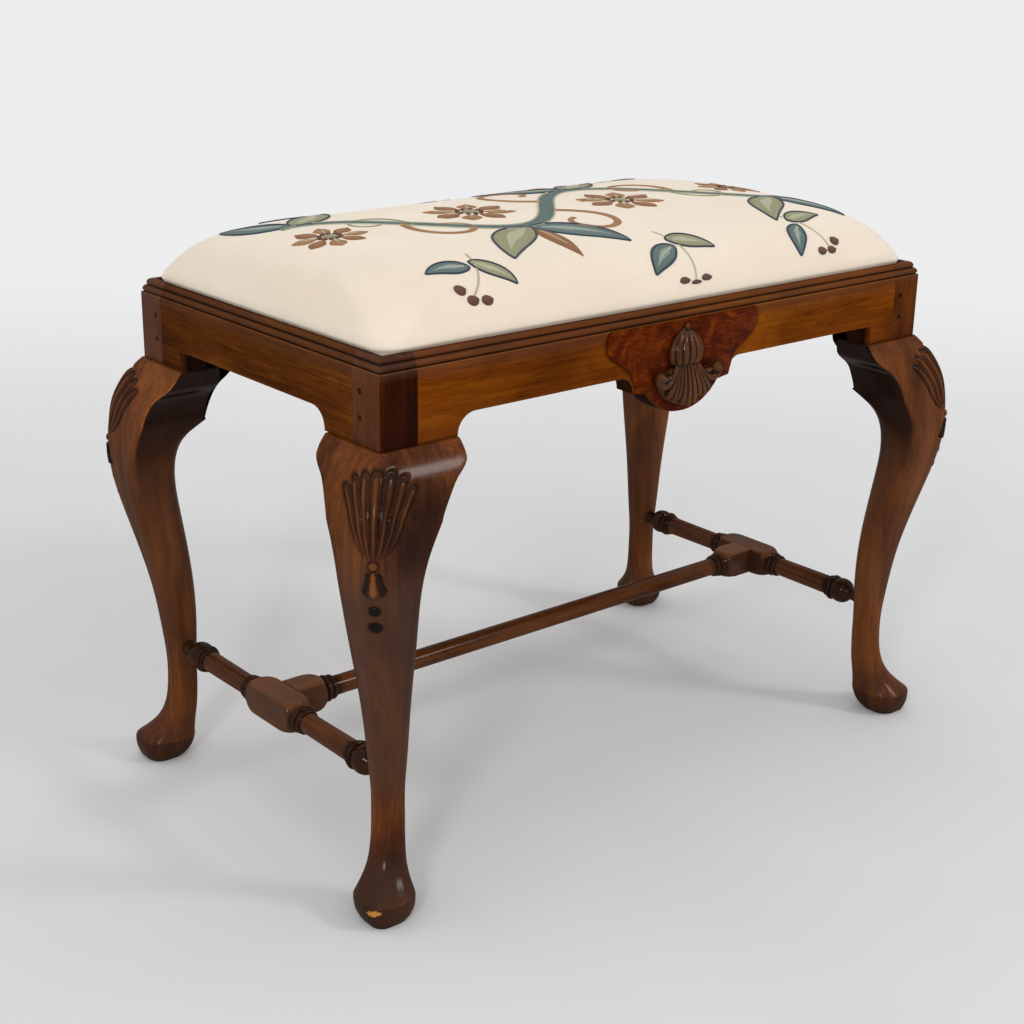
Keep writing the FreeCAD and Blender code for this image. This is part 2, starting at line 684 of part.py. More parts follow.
def side_stretcher():
    """The left stretcher, turned about Y, with its square middle block."""
    piece = new_body("left_stretcher")
    rod = S.rod_diameter / 2
    leg_face = half_depth - S.ankle_back - S.ankle_diameter / 2
    ball = leg_face - S.neck_length - S.ball_width / 2
    collar = ball - S.ball_width / 2 - S.ring_width / 2
    beads = [
        (S.block_length / 2 + S.ring_offset, S.ring_diameter / 2, S.ring_width, rod),
        (collar, S.ring_diameter / 2, S.ring_width, rod),
        (ball, S.ball_diameter / 2, S.ball_width, S.neck_diameter / 2),
    ]
    end = half_depth - S.ankle_back - S.socket_end - S.joint_clear
    half_steps = turned_half(beads, end, S.neck_diameter / 2, rod)
    turned(piece, turned_outline(flat_sketch(piece, "XY_Plane", 0), half_steps, True), "Y_Axis")
    half = S.block_size / 2
    pad(piece, draw(flat_sketch(piece, "XZ_Plane", 0), *box_steps(-half, -half, half, half)), S.block_length,
        symmetric=True)
    for way in (-1, 1):
        waste = pommel_waste(flat_sketch(piece, "XY_Plane", 0), S.block_length / 2 * way, way, True)
        turned(piece, waste, "Y_Axis", "PartDesign::Groove")
    hole = flat_sketch(piece, "YZ_Plane", half - S.dowel_length - S.joint_clear)
    hole.addGeometry(Part.Circle(V(0, 0, 0), V(0, 0, 1), float(S.dowel_diameter / 2 + S.joint_clear)), False)
    pocket(piece, hole, S.block_size, reverse=True)
    place(piece, -half_length + S.ankle_back, 0, S.stretcher_height)
    return piece


def centre_stretcher():
    """The centre stretcher, turned about X, with a square block at each end."""
    piece = new_body("centre_stretcher")
    rod = S.rod_diameter / 2
    end = half_length - S.ankle_back - S.block_size / 2
    block_start = end - S.centre_block_length
    beads = [(block_start - S.ring_offset, S.ring_diameter / 2, S.ring_width, rod)]
    half_steps = turned_half(beads, block_start + S.pommel_round, rod, rod)
    half_steps += [(block_start + S.pommel_round, S.dowel_diameter / 2), (end + S.dowel_length, S.dowel_diameter / 2)]
    turned(piece, turned_outline(flat_sketch(piece, "XY_Plane", 0), half_steps, False), "X_Axis")
    half = S.block_size / 2
    for way in (-1, 1):
        square = flat_sketch(piece, "YZ_Plane", block_start * way)
        pad(piece, draw(square, *box_steps(-half, -half, half, half)), S.centre_block_length, reverse=way < 0)
        waste = pommel_waste(flat_sketch(piece, "XY_Plane", 0), block_start * way, -way, False)
        turned(piece, waste, "X_Axis", "PartDesign::Groove")
    place(piece, 0, 0, S.stretcher_height)
    return piece


# Corner blocks with their screws, and the joint pegs.

def corner_block():
    """The block behind the front left post, notched round it and bored for two screws."""
    piece = new_body("corner_block_front_left")
    inner = S.rail_thick
    post = S.post_size
    reach = S.post_size + S.corner_reach
    plan = flat_sketch(piece, "XY_Plane", ledge - S.corner_height)
    draw(plan, (post, inner), [(reach, inner), (inner, reach), (inner, post), (post, post), (post, inner)])
    pad(piece, plan, S.corner_height)
    spot = point((screw_at, ledge - S.corner_height / 2))
    shoulder = inner + S.screw_under
    for role, way in (("XZ_Plane", -1), ("YZ_Plane", 1)):
        hole = flat_sketch(piece, role, inner * way)
        hole.addGeometry(Part.Circle(spot, V(0, 0, 1), float(S.screw_diameter / 2 + S.joint_clear)), False)
        pocket(piece, hole, reach, reverse=way > 0)
        bore = flat_sketch(piece, role, shoulder * way)
        bore.addGeometry(Part.Circle(spot, V(0, 0, 1), float(S.screw_head / 2 + S.joint_clear)), False)
        pocket(piece, bore, reach, reverse=way > 0)
    place(piece, CORNER[0], CORNER[1], 0)
    return piece


def corner_screws():
    """Two screws for each corner block, one into each rail."""
    start = CORNER[1] + S.rail_thick - S.screw_bite
    along = S.screw_bite + S.screw_under
    x = CORNER[0] + screw_at
    z = ledge - S.corner_height / 2
    shank = pin("screw_shank", S.screw_diameter, along + S.screw_head_height / 2, (x, start, z), V(0, 1, 0))
    head = pin("screw_head_part", S.screw_head, S.screw_head_height, (x, start + along, z), V(0, 1, 0))
    screw = doc.addObject("Part::Fuse", "corner_screw")
    screw.Base = shank
    screw.Tool = head
    other = mirror(screw, "corner_screw_end", DIAGONAL, CORNER)
    members = four_corners(screw, "corner_screw_%s_long") + four_corners(other, "corner_screw_%s_end")
    return group(members, "corner_block_screws")


def joint_pegs():
    """Two pegs through each rail tenon."""
    members = []
    for count, level in enumerate(peg_heights, 1):
        start = (CORNER[0] + peg_place, CORNER[1], level)
        peg = pin("joint_peg", S.peg_diameter, peg_length, start, V(0, 1, 0))
        other = mirror(peg, "joint_peg_end", DIAGONAL, CORNER)
        members += four_corners(peg, "joint_peg_%d_%%s_long" % count)
        members += four_corners(other, "joint_peg_%d_%%s_end" % count)
    return group(members, "joint_pegs")


# Drop-in seat.

def tack_spots():
    """Places of the tacks in plan, clear of the ledge, the posts and the corner blocks."""
    x = seat_half_x - S.tack_edge
    y = seat_half_y - S.tack_edge
    clear = S.post_size + S.corner_reach
    spots = []
    for half, other, turn in ((half_length - clear, y, False), (half_depth - clear, x, True)):
        count = max(1, int(float(half * 2) // float(S.tack_pitch)))
        step = half * 2 / count
        for index in range(count):
            at = -half + step * (index + 0.5)
            for side in (-1, 1):
                spots.append((other * side, at) if turn else (at, other * side))
    return spots


def lapped_piece(label, x, y, length, width, laps, lap_low, plan):
    """A piece of the seat frame, half as thick at both ends, with the frame's round corners and tack holes."""
    bar = block(label + "_bar", x, y, seat_frame_low, length, width, S.seat_rail_thick)
    cuts = [block(label + "_lap", left, low, lap_low, S.seat_rail_width, S.seat_rail_width, S.seat_rail_thick / 2)
            for left, low in laps]
    drill = S.tack_shank + S.joint_clear * 2
    depth = S.tack_length + S.joint_clear
    for at_x, at_y in tack_spots():
        if inside(at_x, x, length) and inside(at_y, y, width):
            cuts.append(pin(label + "_tack_hole", drill, depth, (at_x, at_y, seat_bottom), V(0, 0, 1)))
    cut = doc.addObject("Part::Cut", label + "_square")
    cut.Base = bar
    cut.Tool = group(cuts, label + "_cuts")
    piece = doc.addObject("Part::Common", label)
    piece.Label = label
    piece.Base = cut
    piece.Tool = plan
    return piece


def inside(at, low, length):
    """Whether a place lies within a length that starts at a low end."""
    return float(low) < float(at) < float(low + length)


def seat_frame():
    """Four lapped pieces round the seat."""
    wide = S.seat_rail_width
    plan = new_body("seat_frame_plan")
    corner = S.cover_corner - S.cover_thick - S.joint_clear
    pad(plan, cushion_outline(plan, seat_frame_low, seat_half_x, seat_half_y, corner), S.seat_rail_thick)
    middle = seat_frame_low + S.seat_rail_thick / 2
    left = -seat_half_x
    right = seat_half_x - wide
    front = -seat_half_y
    back = seat_half_y - wide
    long_side = seat_half_x * 2
    short_side = seat_half_y * 2
    pieces = []
    for label, y in (("seat_frame_front", front), ("seat_frame_back", back)):
        pieces.append(lapped_piece(label, left, y, long_side, wide, [(left, y), (right, y)], middle, plan))
    for label, x in (("seat_frame_left", left), ("seat_frame_right", right)):
        laps = [(x, front), (x, back)]
        pieces.append(lapped_piece(label, x, front, wide, short_side, laps, seat_frame_low, plan))
    return pieces


def webbing():
    """Strips along and across the seat, evenly spaced."""
    def middles(half, count):
        step = half * 2 / count
        return [-half + step * (index + 0.5) for index in range(int(float(count)))]

    reach_x = seat_half_x - S.web_inset
    reach_y = seat_half_y - S.web_inset
    along = [block("web_long", -reach_x, middle - S.web_width / 2, seat_frame_high, reach_x * 2, S.web_width,
                   S.web_thick) for middle in middles(reach_y, S.web_long_count)]
    across = [block("web_cross", middle - S.web_width / 2, -reach_y, web_high, S.web_width, reach_y * 2,
                    S.web_thick) for middle in middles(reach_x, S.web_cross_count)]
    return [group(along, "seat_webbing_long"), group(across, "seat_webbing_cross")]


def crown_level(share):
    """Height of the cover at a share of its rise, and how much of each half side is left there."""
    rise = S.crown_rise + S.crown_root
    height = frame_top - S.crown_root + rise * share
    room = 1 - share ** (1 / float(S.crown_bend))
    return height, room ** (1 / float(S.crown_end_power)), room ** (1 / float(S.crown_side_power))


def cushion_outline(piece, level, half_x, half_y, corner):
    """A rounded rectangle in plan at a level."""
    outline = flat_sketch(piece, "XY_Plane", level)
    x = float(half_x)
    y = float(half_y)
    corner = float(corner)
    dip = corner * (1 - math.sqrt(0.5))
    steps = []
    for way_x, way_y, turn in ((1, -1, 0), (1, 1, 1), (-1, 1, 0), (-1, -1, 1)):
        by_x = (way_x * (x - corner), way_y * y)
        by_y = (way_x * x, way_y * (y - corner))
        first, last = (by_y, by_x) if turn else (by_x, by_y)
        steps.append(first)
        steps.append(((way_x * (x - dip), way_y * (y - dip)), last))
    return draw(outline, steps[-1][1], steps)


def crowned(piece, low, inset, kind):
    """A straight-sided base and a crown over it, an inset inside the cover's outer surface."""
    foot_share = float(crown_foot - frame_top + S.crown_root) / float(S.crown_rise + S.crown_root)
    outlines = []
    for part in (0, 0.4, 0.64, 0.83, 0.945, 0.988):
        share = foot_share + (1 - foot_share) * part
        height, left_x, left_y = crown_level(share)
        sink = inset if part else 0
        half_y = cover_half_y * left_y
        corner = min(float(S.cover_corner + S.crown_corner * (share - foot_share)), float(half_y) * 0.85)
        outlines.append(cushion_outline(piece, height - sink, cover_half_x * left_x - inset, half_y - inset,
                                        corner - float(inset)))
    base = cushion_outline(piece, low, cover_half_x - inset, cover_half_y - inset, S.cover_corner - inset)
    if kind == "PartDesign::AdditiveLoft":
        pad(piece, base, crown_foot - low)
    else:
        pocket(piece, base, crown_foot - low, reverse=True)
    loft(piece, outlines, kind)


def seat_soft():
    """Hessian, stuffing and cover."""
    reach_x = seat_half_x - S.web_inset
    reach_y = seat_half_y - S.web_inset
    hessian = block("seat_hessian", -reach_x, -reach_y, hessian_low, reach_x * 2, reach_y * 2, S.hessian_thick)

    # The stuffing fills the crown and is cut flat where it lies on the hessian.
    stuffing = new_body("seat_stuffing")
    crowned(stuffing, seat_frame_low, S.cover_thick + S.fill_gap, "PartDesign::AdditiveLoft")
    waste = flat_sketch(stuffing, "XY_Plane", hessian_high + S.fill_gap)
    draw(waste, *box_steps(-half_length, -half_depth, half_length, half_depth))
    pocket(stuffing, waste)

    # The cover is hollow, open underneath inside its turned edge, and pierced by the tacks.
    cover = new_body("seat_cover")
    crowned(cover, seat_bottom, 0, "PartDesign::AdditiveLoft")
    crowned(cover, seat_frame_low, S.cover_thick, "PartDesign::SubtractiveLoft")
    hole = flat_sketch(cover, "XY_Plane", seat_frame_low)
    hole_x = cover_half_x - S.cover_turn
    hole_y = cover_half_y - S.cover_turn
    draw(hole, *box_steps(-hole_x, -hole_y, hole_x, hole_y))
    for spot in tack_spots():
        radius = S.tack_shank / 2 + S.joint_clear
        hole.addGeometry(Part.Circle(point(spot), V(0, 0, 1), float(radius)), False)
    pocket(cover, hole, S.cover_thick + S.seat_rest)
    return [hessian, stuffing, cover]


def cover_tacks():
    """Tacks that hold the cover under the seat frame."""
    members = []
    for x, y in tack_spots():
        low = seat_bottom - S.tack_head_thick
        head = pin("tack_head_part", S.tack_head, S.tack_head_thick, (x, y, low), V(0, 0, 1))
        shank = pin("tack_shank_part", S.tack_shank, S.tack_length + S.tack_head_thick, (x, y, low), V(0, 0, 1))
        tack = doc.addObject("Part::Fuse", "tack")
        tack.Base = head
        tack.Tool = shank
        members.append(tack)
    return group(members, "cover_tacks")


# Assembly.

pieces = []
pieces += four_corners(leg(), "leg_%s")
ear = knee_block()
ear_end = mirror(ear, "knee_block_front_left_end", DIAGONAL, CORNER)
pieces += four_corners(ear, "knee_block_%s_long")
pieces += four_corners(ear_end, "knee_block_%s_end")

front_rail = rail("front_rail", S.frame_length, True)
place(front_rail, 0, -half_depth, 0)
left_rail = rail("left_rail", S.frame_depth, False)
place(left_rail, -half_length, 0, 0, -90)
pieces += [front_rail, mirror(front_rail, "back_rail", ACROSS_Y)]
pieces += [left_rail, mirror(left_rail, "right_rail", ACROSS_X)]
for carving, label in ((plaque(), "back_apron_plaque"), (shell(), "back_apron_shell")):
    pieces += [carving, mirror(carving, label, ACROSS_Y)]

left_stretcher = side_stretcher()
pieces += [left_stretcher, mirror(left_stretcher, "right_stretcher", ACROSS_X), centre_stretcher()]
pieces += four_corners(corner_block(), "corner_block_%s")
pieces += [corner_screws(), joint_pegs()]
pieces += seat_frame()
pieces += webbing()
pieces += seat_soft()
pieces += [cover_tacks()]

doc.recompute()
faults = []
for item in doc.Objects:
    if "Invalid" in item.State or "Error" in item.State:
        faults.append("%s is %s" % (item.Label, item.State))
for piece in pieces:
    if piece.Shape.isNull() or not piece.Shape.isValid():
        faults.append("%s has no valid shape" % piece.Label)
if faults:
    raise RuntimeError("; ".join(faults))

os.makedirs("parts", exist_ok=True)
for piece in pieces:
    piece.Shape.exportStep("parts/%s.step" % piece.Label)
    print("%-30s %3d solid(s) %12.1f mm3" % (piece.Label, len(piece.Shape.Solids), piece.Shape.Volume))
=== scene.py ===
import math

import bmesh
import bpy
import numpy as np
from mathutils import Matrix, Vector
from mathutils.bvhtree import BVHTree


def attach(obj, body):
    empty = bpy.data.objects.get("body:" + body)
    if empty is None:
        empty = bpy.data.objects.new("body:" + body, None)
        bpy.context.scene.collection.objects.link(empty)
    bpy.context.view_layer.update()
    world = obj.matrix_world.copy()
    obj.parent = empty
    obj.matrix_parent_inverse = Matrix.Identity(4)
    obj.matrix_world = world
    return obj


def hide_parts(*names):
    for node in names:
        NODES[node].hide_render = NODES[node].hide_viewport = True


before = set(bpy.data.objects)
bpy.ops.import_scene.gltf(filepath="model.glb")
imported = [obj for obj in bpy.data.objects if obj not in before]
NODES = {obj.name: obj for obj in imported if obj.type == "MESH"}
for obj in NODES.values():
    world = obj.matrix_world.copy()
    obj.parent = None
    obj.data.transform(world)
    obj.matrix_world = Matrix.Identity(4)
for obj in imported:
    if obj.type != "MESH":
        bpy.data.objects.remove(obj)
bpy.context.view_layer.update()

MM = 0.001

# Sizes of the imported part, in millimetres.
HALF_X, HALF_Y = 305.0, 174.5
POST, LIP, LEDGE = 34.0, 10.0, 432.5
KNEE_TOP, EAR_FOOT, EAR_TURN, RIM = 381.5, 328.5, 364.5, 21.0
RAIL_LOW, RAIL_THICK, FRAME_TOP = 398.5, 20.0, 450.5
SEAT_X, SEAT_Y, SEAT_LOW, SEAT_CORNER = 294.0, 163.5, 432.8, 14.0
CROWN_ROOT, CROWN_RISE = 430.5, 73.0
WEB_X, WEB_Y, WEB_WIDTH = 284.4, 153.9, 50.0
CORNERS = {"front_left": (-1, -1), "front_right": (1, -1), "back_left": (-1, 1), "back_right": (1, 1)}


# Meshes

def paint_points(mesh, paint):
    """Colour each point of a mesh: dirt and painted shade in red, wear and painted light in green, chips in
    blue.
    """
    layer = mesh.color_attributes.new("paint", "FLOAT_COLOR", "POINT")
    layer.data.foreach_set("color", np.asarray(paint, np.float32).ravel())


def mesh_object(name, points, faces, sharp=35.0, paint=None, uv=None, painted_sheen=None):
    """An object from points in millimetres; paint is a colour, uv a pair and painted_sheen a number for each,
    the share of painted sheen.
    """
    mesh = bpy.data.meshes.new(name)
    mesh.from_pydata((np.asarray(points, float) * MM).tolist(), [], faces)
    mesh.update()
    if paint is not None:
        paint_points(mesh, paint)
    if painted_sheen is not None:
        layer = mesh.attributes.new("painted_sheen", "FLOAT", "POINT")
        layer.data.foreach_set("value", np.asarray(painted_sheen, np.float32).ravel())
    if uv is not None:
        layer = mesh.uv_layers.new(name="stitch")
        loops = np.zeros(len(mesh.loops), int)
        mesh.loops.foreach_get("vertex_index", loops)
        layer.data.foreach_set("uv", np.asarray(uv, np.float32)[loops].ravel())
    return finish_mesh(bpy.data.objects.new(name, mesh), sharp)


def finish_mesh(obj, sharp=35.0):
    """Link an object, and smooth its faces up to an angle."""
    if obj.name not in bpy.context.scene.collection.objects:
        bpy.context.scene.collection.objects.link(obj)
    obj.data.shade_smooth()
    obj.data.set_sharp_from_angle(angle=math.radians(sharp))
    return obj


def recalculated(obj, sharp=30.0):
    """Turn the faces of a closed mesh outwards."""
    bm = bmesh.new()
    bm.from_mesh(obj.data)
    bmesh.ops.recalc_face_normals(bm, faces=bm.faces[:])
    bm.to_mesh(obj.data)
    bm.free()
    return finish_mesh(obj, sharp)


def grid_faces(rows, columns, closed=True, flip=False, start=0):
    """Quads between rows of points."""
    faces = []
    for i in range(rows - 1):
        for j in range(columns if closed else columns - 1):
            k = (j + 1) % columns
            quad = [start + i * columns + j, start + i * columns + k,
                    start + (i + 1) * columns + k, start + (i + 1) * columns + j]
            faces.append(quad[::-1] if flip else quad)
    return faces


def tube_faces(rows, columns, flip=False, start=0):
    """Quads between closed rows of points, with both ends capped."""
    low = [start + j for j in range(columns)]
    high = [start + (rows - 1) * columns + j for j in range(columns)]
    caps = [low if flip else low[::-1], high[::-1] if flip else high]
    return grid_faces(rows, columns, True, flip, start) + caps


class Tubes:
    """Points and faces of capped tubes that make one mesh."""

    def __init__(self):
        self.points, self.faces = [], []

    def add(self, loops, flip=False):
        self.faces += tube_faces(len(loops), len(loops[0]), flip, len(self.points))
        self.points += np.concatenate(loops).tolist()


def spline(xs, ys):
    """Natural cubic spline through points."""
    xs, ys = np.asarray(xs, float), np.asarray(ys, float)
    n, h = len(xs), np.diff(xs)
    rows, right = np.zeros((n, n)), np.zeros(n)
    rows[0, 0] = rows[-1, -1] = 1
    for i in range(1, n - 1):
        rows[i, i - 1:i + 2] = h[i - 1], 2 * (h[i - 1] + h[i]), h[i]
        right[i] = 6 * ((ys[i + 1] - ys[i]) / h[i] - (ys[i] - ys[i - 1]) / h[i - 1])
    bend = np.linalg.solve(rows, right)

    def at(x):
        i = np.clip(np.searchsorted(xs, x) - 1, 0, n - 2)
        d, lo, hi = h[i], xs[i + 1] - x, x - xs[i]
        curve = (bend[i] * lo ** 3 + bend[i + 1] * hi ** 3) / (6 * d)
        return curve + (ys[i] / d - bend[i] * d / 6) * lo + (ys[i + 1] / d - bend[i + 1] * d / 6) * hi
    return at


def bezier(control, count):
    """Points of a Bezier curve."""
    control = np.array(control, float)
    made = []
    for t in np.linspace(0, 1, count):
        row = control
        while len(row) > 1:
            row = row[:-1] * (1 - t) + row[1:] * t
        made.append(row[0])
    return np.array(made)


def circle_through(p, q, r):
    """Centre and radius of the circle through three points."""
    (ax, ay), (bx, by), (cx, cy) = p, q, r
    d = 2 * (ax * (by - cy) + bx * (cy - ay) + cx * (ay - by))
    aa, bb, cc = ax * ax + ay * ay, bx * bx + by * by, cx * cx + cy * cy
    ux = (aa * (by - cy) + bb * (cy - ay) + cc * (ay - by)) / d
    uy = (aa * (cx - bx) + bb * (ax - cx) + cc * (bx - ax)) / d
    return ux, uy, math.hypot(ax - ux, ay - uy)


def smooth_step(low, high, x):
    """An eased step from 0 at low to 1 at high."""
    t = np.clip((x - low) / (high - low), 0, 1)
    return t * t * (3 - 2 * t)


def dome(distance):
    """Round profile, 1 in the middle and 0 at a distance of 1."""
    return np.sqrt(np.clip(1 - distance ** 2, 0, 1))


def unit(vectors):
    """Vectors made 1 long."""
    return vectors / np.maximum(np.linalg.norm(vectors, axis=-1, keepdims=True), 1e-9)


def beside(path):
    """Unit vectors to the left of a path in a plane."""
    ahead = unit(np.gradient(path, axis=0))
    return np.column_stack([-ahead[:, 1], ahead[:, 0]])


def right_of(loop):
    """Unit vectors to the right of a closed path in a plane."""
    ahead = np.roll(loop, -1, 0) - np.roll(loop, 1, 0)
    return unit(np.column_stack([ahead[:, 1], -ahead[:, 0]]))


def run_along(path):
    """Length along a path at each of its points."""
    return np.concatenate([[0], np.cumsum(np.linalg.norm(np.diff(path, axis=0), axis=1))])


# Materials

class Shader:
    """A node tree, with short calls for the nodes used here."""

    def __init__(self, tree):
        self.tree, self.link = tree, tree.links.new
        self.surface = tree.nodes.get("Principled BSDF")

    def node(self, kind, **values):
        """A node with its properties and input values set."""
        made = self.tree.nodes.new("ShaderNode" + kind)
        for key, value in values.items():
            if hasattr(made, key):
                setattr(made, key, value)
            else:
                made.inputs[key.replace("_", " ")].default_value = value
        return made

    def feed(self, sockets, values):
        """Set each socket to a number or a colour, or link an output to it."""
        for socket, value in zip(sockets, values):
            if isinstance(value, (int, float)):
                socket.default_value = value
            elif isinstance(value, tuple):
                socket.default_value = (*value, 1)
            else:
                self.link(value, socket)

    def op(self, kind, *values, clamp=False):
        """A calculation; an input that isn't given keeps its default."""
        made = self.node("Math", operation=kind, use_clamp=clamp)
        self.feed(made.inputs, values)
        return made.outputs[0]

    def mix(self, factor, a, b, kind="MIX"):
        """Two colours mixed."""
        made = self.node("Mix", data_type="RGBA", blend_type=kind)
        self.feed((made.inputs[0], made.inputs[6], made.inputs[7]), (factor, a, b))
        return made.outputs[2]

    def parts(self, vector):
        """The three parts of a vector."""
        made = self.node("SeparateXYZ")
        self.link(vector, made.inputs[0])
        return made.outputs

    def scaled(self, vector, sizes):
        made = self.node("Mapping", Scale=sizes)
        self.link(vector, made.inputs["Vector"])
        return made.outputs["Vector"]

    def stretched(self, scale, along=2, squeeze=1.0):
        """Object coordinates squeezed along the grain."""
        sizes = [scale] * 3
        sizes[along] = scale * squeeze
        return self.scaled(self.node("TexCoord").outputs["Object"], sizes)

    def noise(self, vector, detail=4.0, rough=0.55, distort=0.0):
        made = self.node("TexNoise", Scale=1.0, Detail=detail, Roughness=rough, Distortion=distort)
        self.link(vector, made.inputs["Vector"])
        return made.outputs["Fac"]

    def ramp(self, value, *stops):
        """A colour ramp from (place, colour) stops."""
        made = self.node("ValToRGB")
        elements = made.color_ramp.elements
        while len(elements) < len(stops):
            elements.new(0.5)
        for element, (place, colour) in zip(elements, stops):
            element.position = place
            element.color = (*colour, 1)
        self.link(value, made.inputs["Fac"])
        return made.outputs["Color"]

    def base(self, colour):
        self.link(colour, self.surface.inputs["Base Color"])

    def bump(self, height, strength, distance):
        made = self.node("Bump", Strength=strength, Distance=distance)
        self.link(height, made.inputs["Height"])
        self.link(made.outputs["Normal"], self.surface.inputs["Normal"])


def new_material(name, colour, roughness, **sockets):
    """A material and its tree."""
    material = bpy.data.materials.new(name)
    material.use_nodes = True
    material.diffuse_color = (*colour, 1)
    tree = Shader(material.node_tree)
    sockets.update(Base_Color=(*colour, 1), Roughness=roughness)
    for key, value in sockets.items():
        tree.surface.inputs[key.replace("_", " ")].default_value = value
    return material, tree


def give(obj, material):
    """Put one material on an object."""
    obj.data.materials.clear()
    obj.data.materials.append(material)


def place(obj, material, slot, body, *nodes):
    """Give a piece its material and body, and hide the nodes that it stands for; the slot is not used."""
    give(obj, material)
    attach(obj, body)
    if nodes:
        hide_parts(*nodes)


WHITE = (1, 1, 1)
# Tones for the painted sheen, for dirt and painted shade, for wear and painted light, and for chips.
PAINTED_SHEEN_TINT, DIRT_AND_SHADE_TONE = (0.066, 0.032, 0.020), (0.006, 0.003, 0.002)
WORN_AND_LIT_TONE, CHIPPED = (0.30, 0.100, 0.020), (0.62, 0.25, 0.055)


def wood(name, along, dark, mid, light, roughness=0.36, burl=0.0, occlusion=0.8, shine=0.0, polish=0.0,
         gloss=0.13, smoky=1.0):
    """Polished wood: figure, grain, pores, smoky patina, a painted sheen, dirt and painted shade in the
    hollows, and wear and painted light on the edges.
    """
    material, tree = new_material(name, mid, roughness, Coat_Weight=polish, Coat_Roughness=gloss,
                                  Specular_IOR_Level=shine)
    figure = tree.noise(tree.stretched(26 if burl else 20, along, 0.8 if burl else 0.16), 5, 0.6, 0.6 + burl)
    streak = tree.noise(tree.stretched(240, along, 0.35 if burl else 0.03), 5, 0.62, 0.3 + burl)
    pores = tree.noise(tree.stretched(1100, along, 0.05), 3, 0.6)
    grain = tree.op("ADD", tree.op("MULTIPLY", figure, 0.6), tree.op("MULTIPLY", streak, 0.4))
    colour = tree.ramp(grain, (0.32, dark), (0.5, mid), (0.68, light))
    fleck = tree.ramp(pores, (0.34, (0.45, 0.4, 0.36)), (0.46, WHITE))
    colour = tree.mix(0.8, colour, fleck, "MULTIPLY")
    smoke = tree.noise(tree.stretched(17, along, 0.6), 4, 0.55, 0.4)
    patina = tree.ramp(smoke, (0.34, (0.36, 0.30, 0.26)), (0.5, (0.95, 0.93, 0.9)), (0.66, (1.32, 1.32, 1.3)))
    colour = tree.mix(smoky, colour, patina, "MULTIPLY")
    # Painted sheen: a grey tint that stands in for the reflection of the pale room.
    colour = tree.mix(tree.node("Attribute", attribute_name="painted_sheen").outputs["Fac"], colour, PAINTED_SHEEN_TINT)
    paint = tree.node("SeparateColor")
    tree.link(tree.node("Attribute", attribute_name="paint").outputs["Color"], paint.inputs["Color"])
    # Painted shade: ambient occlusion darkens hollows and the corners between parts, together with the red
    # channel's dirt and painted shade.
    hidden = tree.node("AmbientOcclusion", samples=6, Distance=0.009)
    hollow = tree.op("MULTIPLY", tree.op("SUBTRACT", 1.0, hidden.outputs["AO"]), occlusion)
    dirt_and_shade = tree.op("MAXIMUM", hollow, paint.outputs["Red"], clamp=True)
    colour = tree.mix(dirt_and_shade, colour, DIRT_AND_SHADE_TONE)
    patchy = tree.ramp(figure, (0.35, (0.3, 0.3, 0.3)), (0.6, WHITE))
    # The green channel pales the wood for wear and for painted light.
    colour = tree.mix(tree.op("MULTIPLY", paint.outputs["Green"], patchy), colour, WORN_AND_LIT_TONE)
    tree.base(tree.mix(paint.outputs["Blue"], colour, CHIPPED))
    rough = tree.node("MapRange", From_Min=0.3, From_Max=0.7,
                      To_Min=roughness - 0.08, To_Max=roughness + 0.08)
    tree.link(figure, rough.inputs["Value"])
    dull = tree.op("ADD", rough.outputs[0], tree.op("MULTIPLY", dirt_and_shade, 0.1))
    tree.link(dull, tree.surface.inputs["Roughness"])
    tree.bump(tree.op("ADD", streak, tree.op("MULTIPLY", pores, 0.6)), 0.35, 0.0002)
    return material


# Woods by the axis of their grain, with a dark, a middle and a light tone.
LEG_WOOD = wood("leg_walnut", 2, (0.022, 0.005, 0.001), (0.098, 0.026, 0.006), (0.215, 0.062, 0.010), 0.34,
                polish=0.19, gloss=0.17, smoky=0.8)
# Lit and shaded copies of one post walnut: painted shade on the near post's faces along Y, painted light on
# faces along X and on the other posts.
POST_SHADED_WOOD = wood("post_walnut", 2, (0.010, 0.002, 0.001), (0.030, 0.005, 0.001), (0.068, 0.014, 0.002),
                 shine=0.01, polish=0.03)
POST_FAR_LIT_WOOD = wood("post_walnut_far_lit", 2, (0.045, 0.010, 0.001), (0.100, 0.024, 0.002), (0.17, 0.046, 0.004),
                     shine=0.01, polish=0.03)
POST_SIDE_LIT_WOOD = wood("post_walnut_side_lit", 2, (0.040, 0.010, 0.003), (0.082, 0.024, 0.007), (0.13, 0.040, 0.009),
                     shine=0.03, polish=0.05)
RAIL_X_WOOD = wood("rail_walnut_long", 0, (0.070, 0.013, 0.001), (0.148, 0.035, 0.002), (0.250, 0.070, 0.004),
                   polish=0.03, smoky=0.5)
RAIL_Y_WOOD = wood("rail_walnut_end", 1, (0.036, 0.008, 0.001), (0.086, 0.023, 0.003), (0.160, 0.050, 0.005),
                   polish=0.03, smoky=0.5)
ROD_X_WOOD, ROD_Y_WOOD = [
    wood("stretcher_walnut_" + way, axis, (0.030, 0.007, 0.001), (0.085, 0.024, 0.004), (0.170, 0.053, 0.009),
         0.32, polish=0.22, gloss=0.12, smoky=0.8) for axis, way in enumerate(("long", "end"))]
BURL = wood("burl_walnut", 0, (0.030, 0.003, 0.001), (0.085, 0.011, 0.001), (0.190, 0.042, 0.002), 0.3,
            burl=1.6, shine=0.01, polish=0.03, smoky=0.5)
CARVED = wood("carved_walnut", 2, (0.012, 0.003, 0.001), (0.036, 0.010, 0.003), (0.085, 0.026, 0.007), 0.3,
              occlusion=0.9, polish=0.3, gloss=0.12)
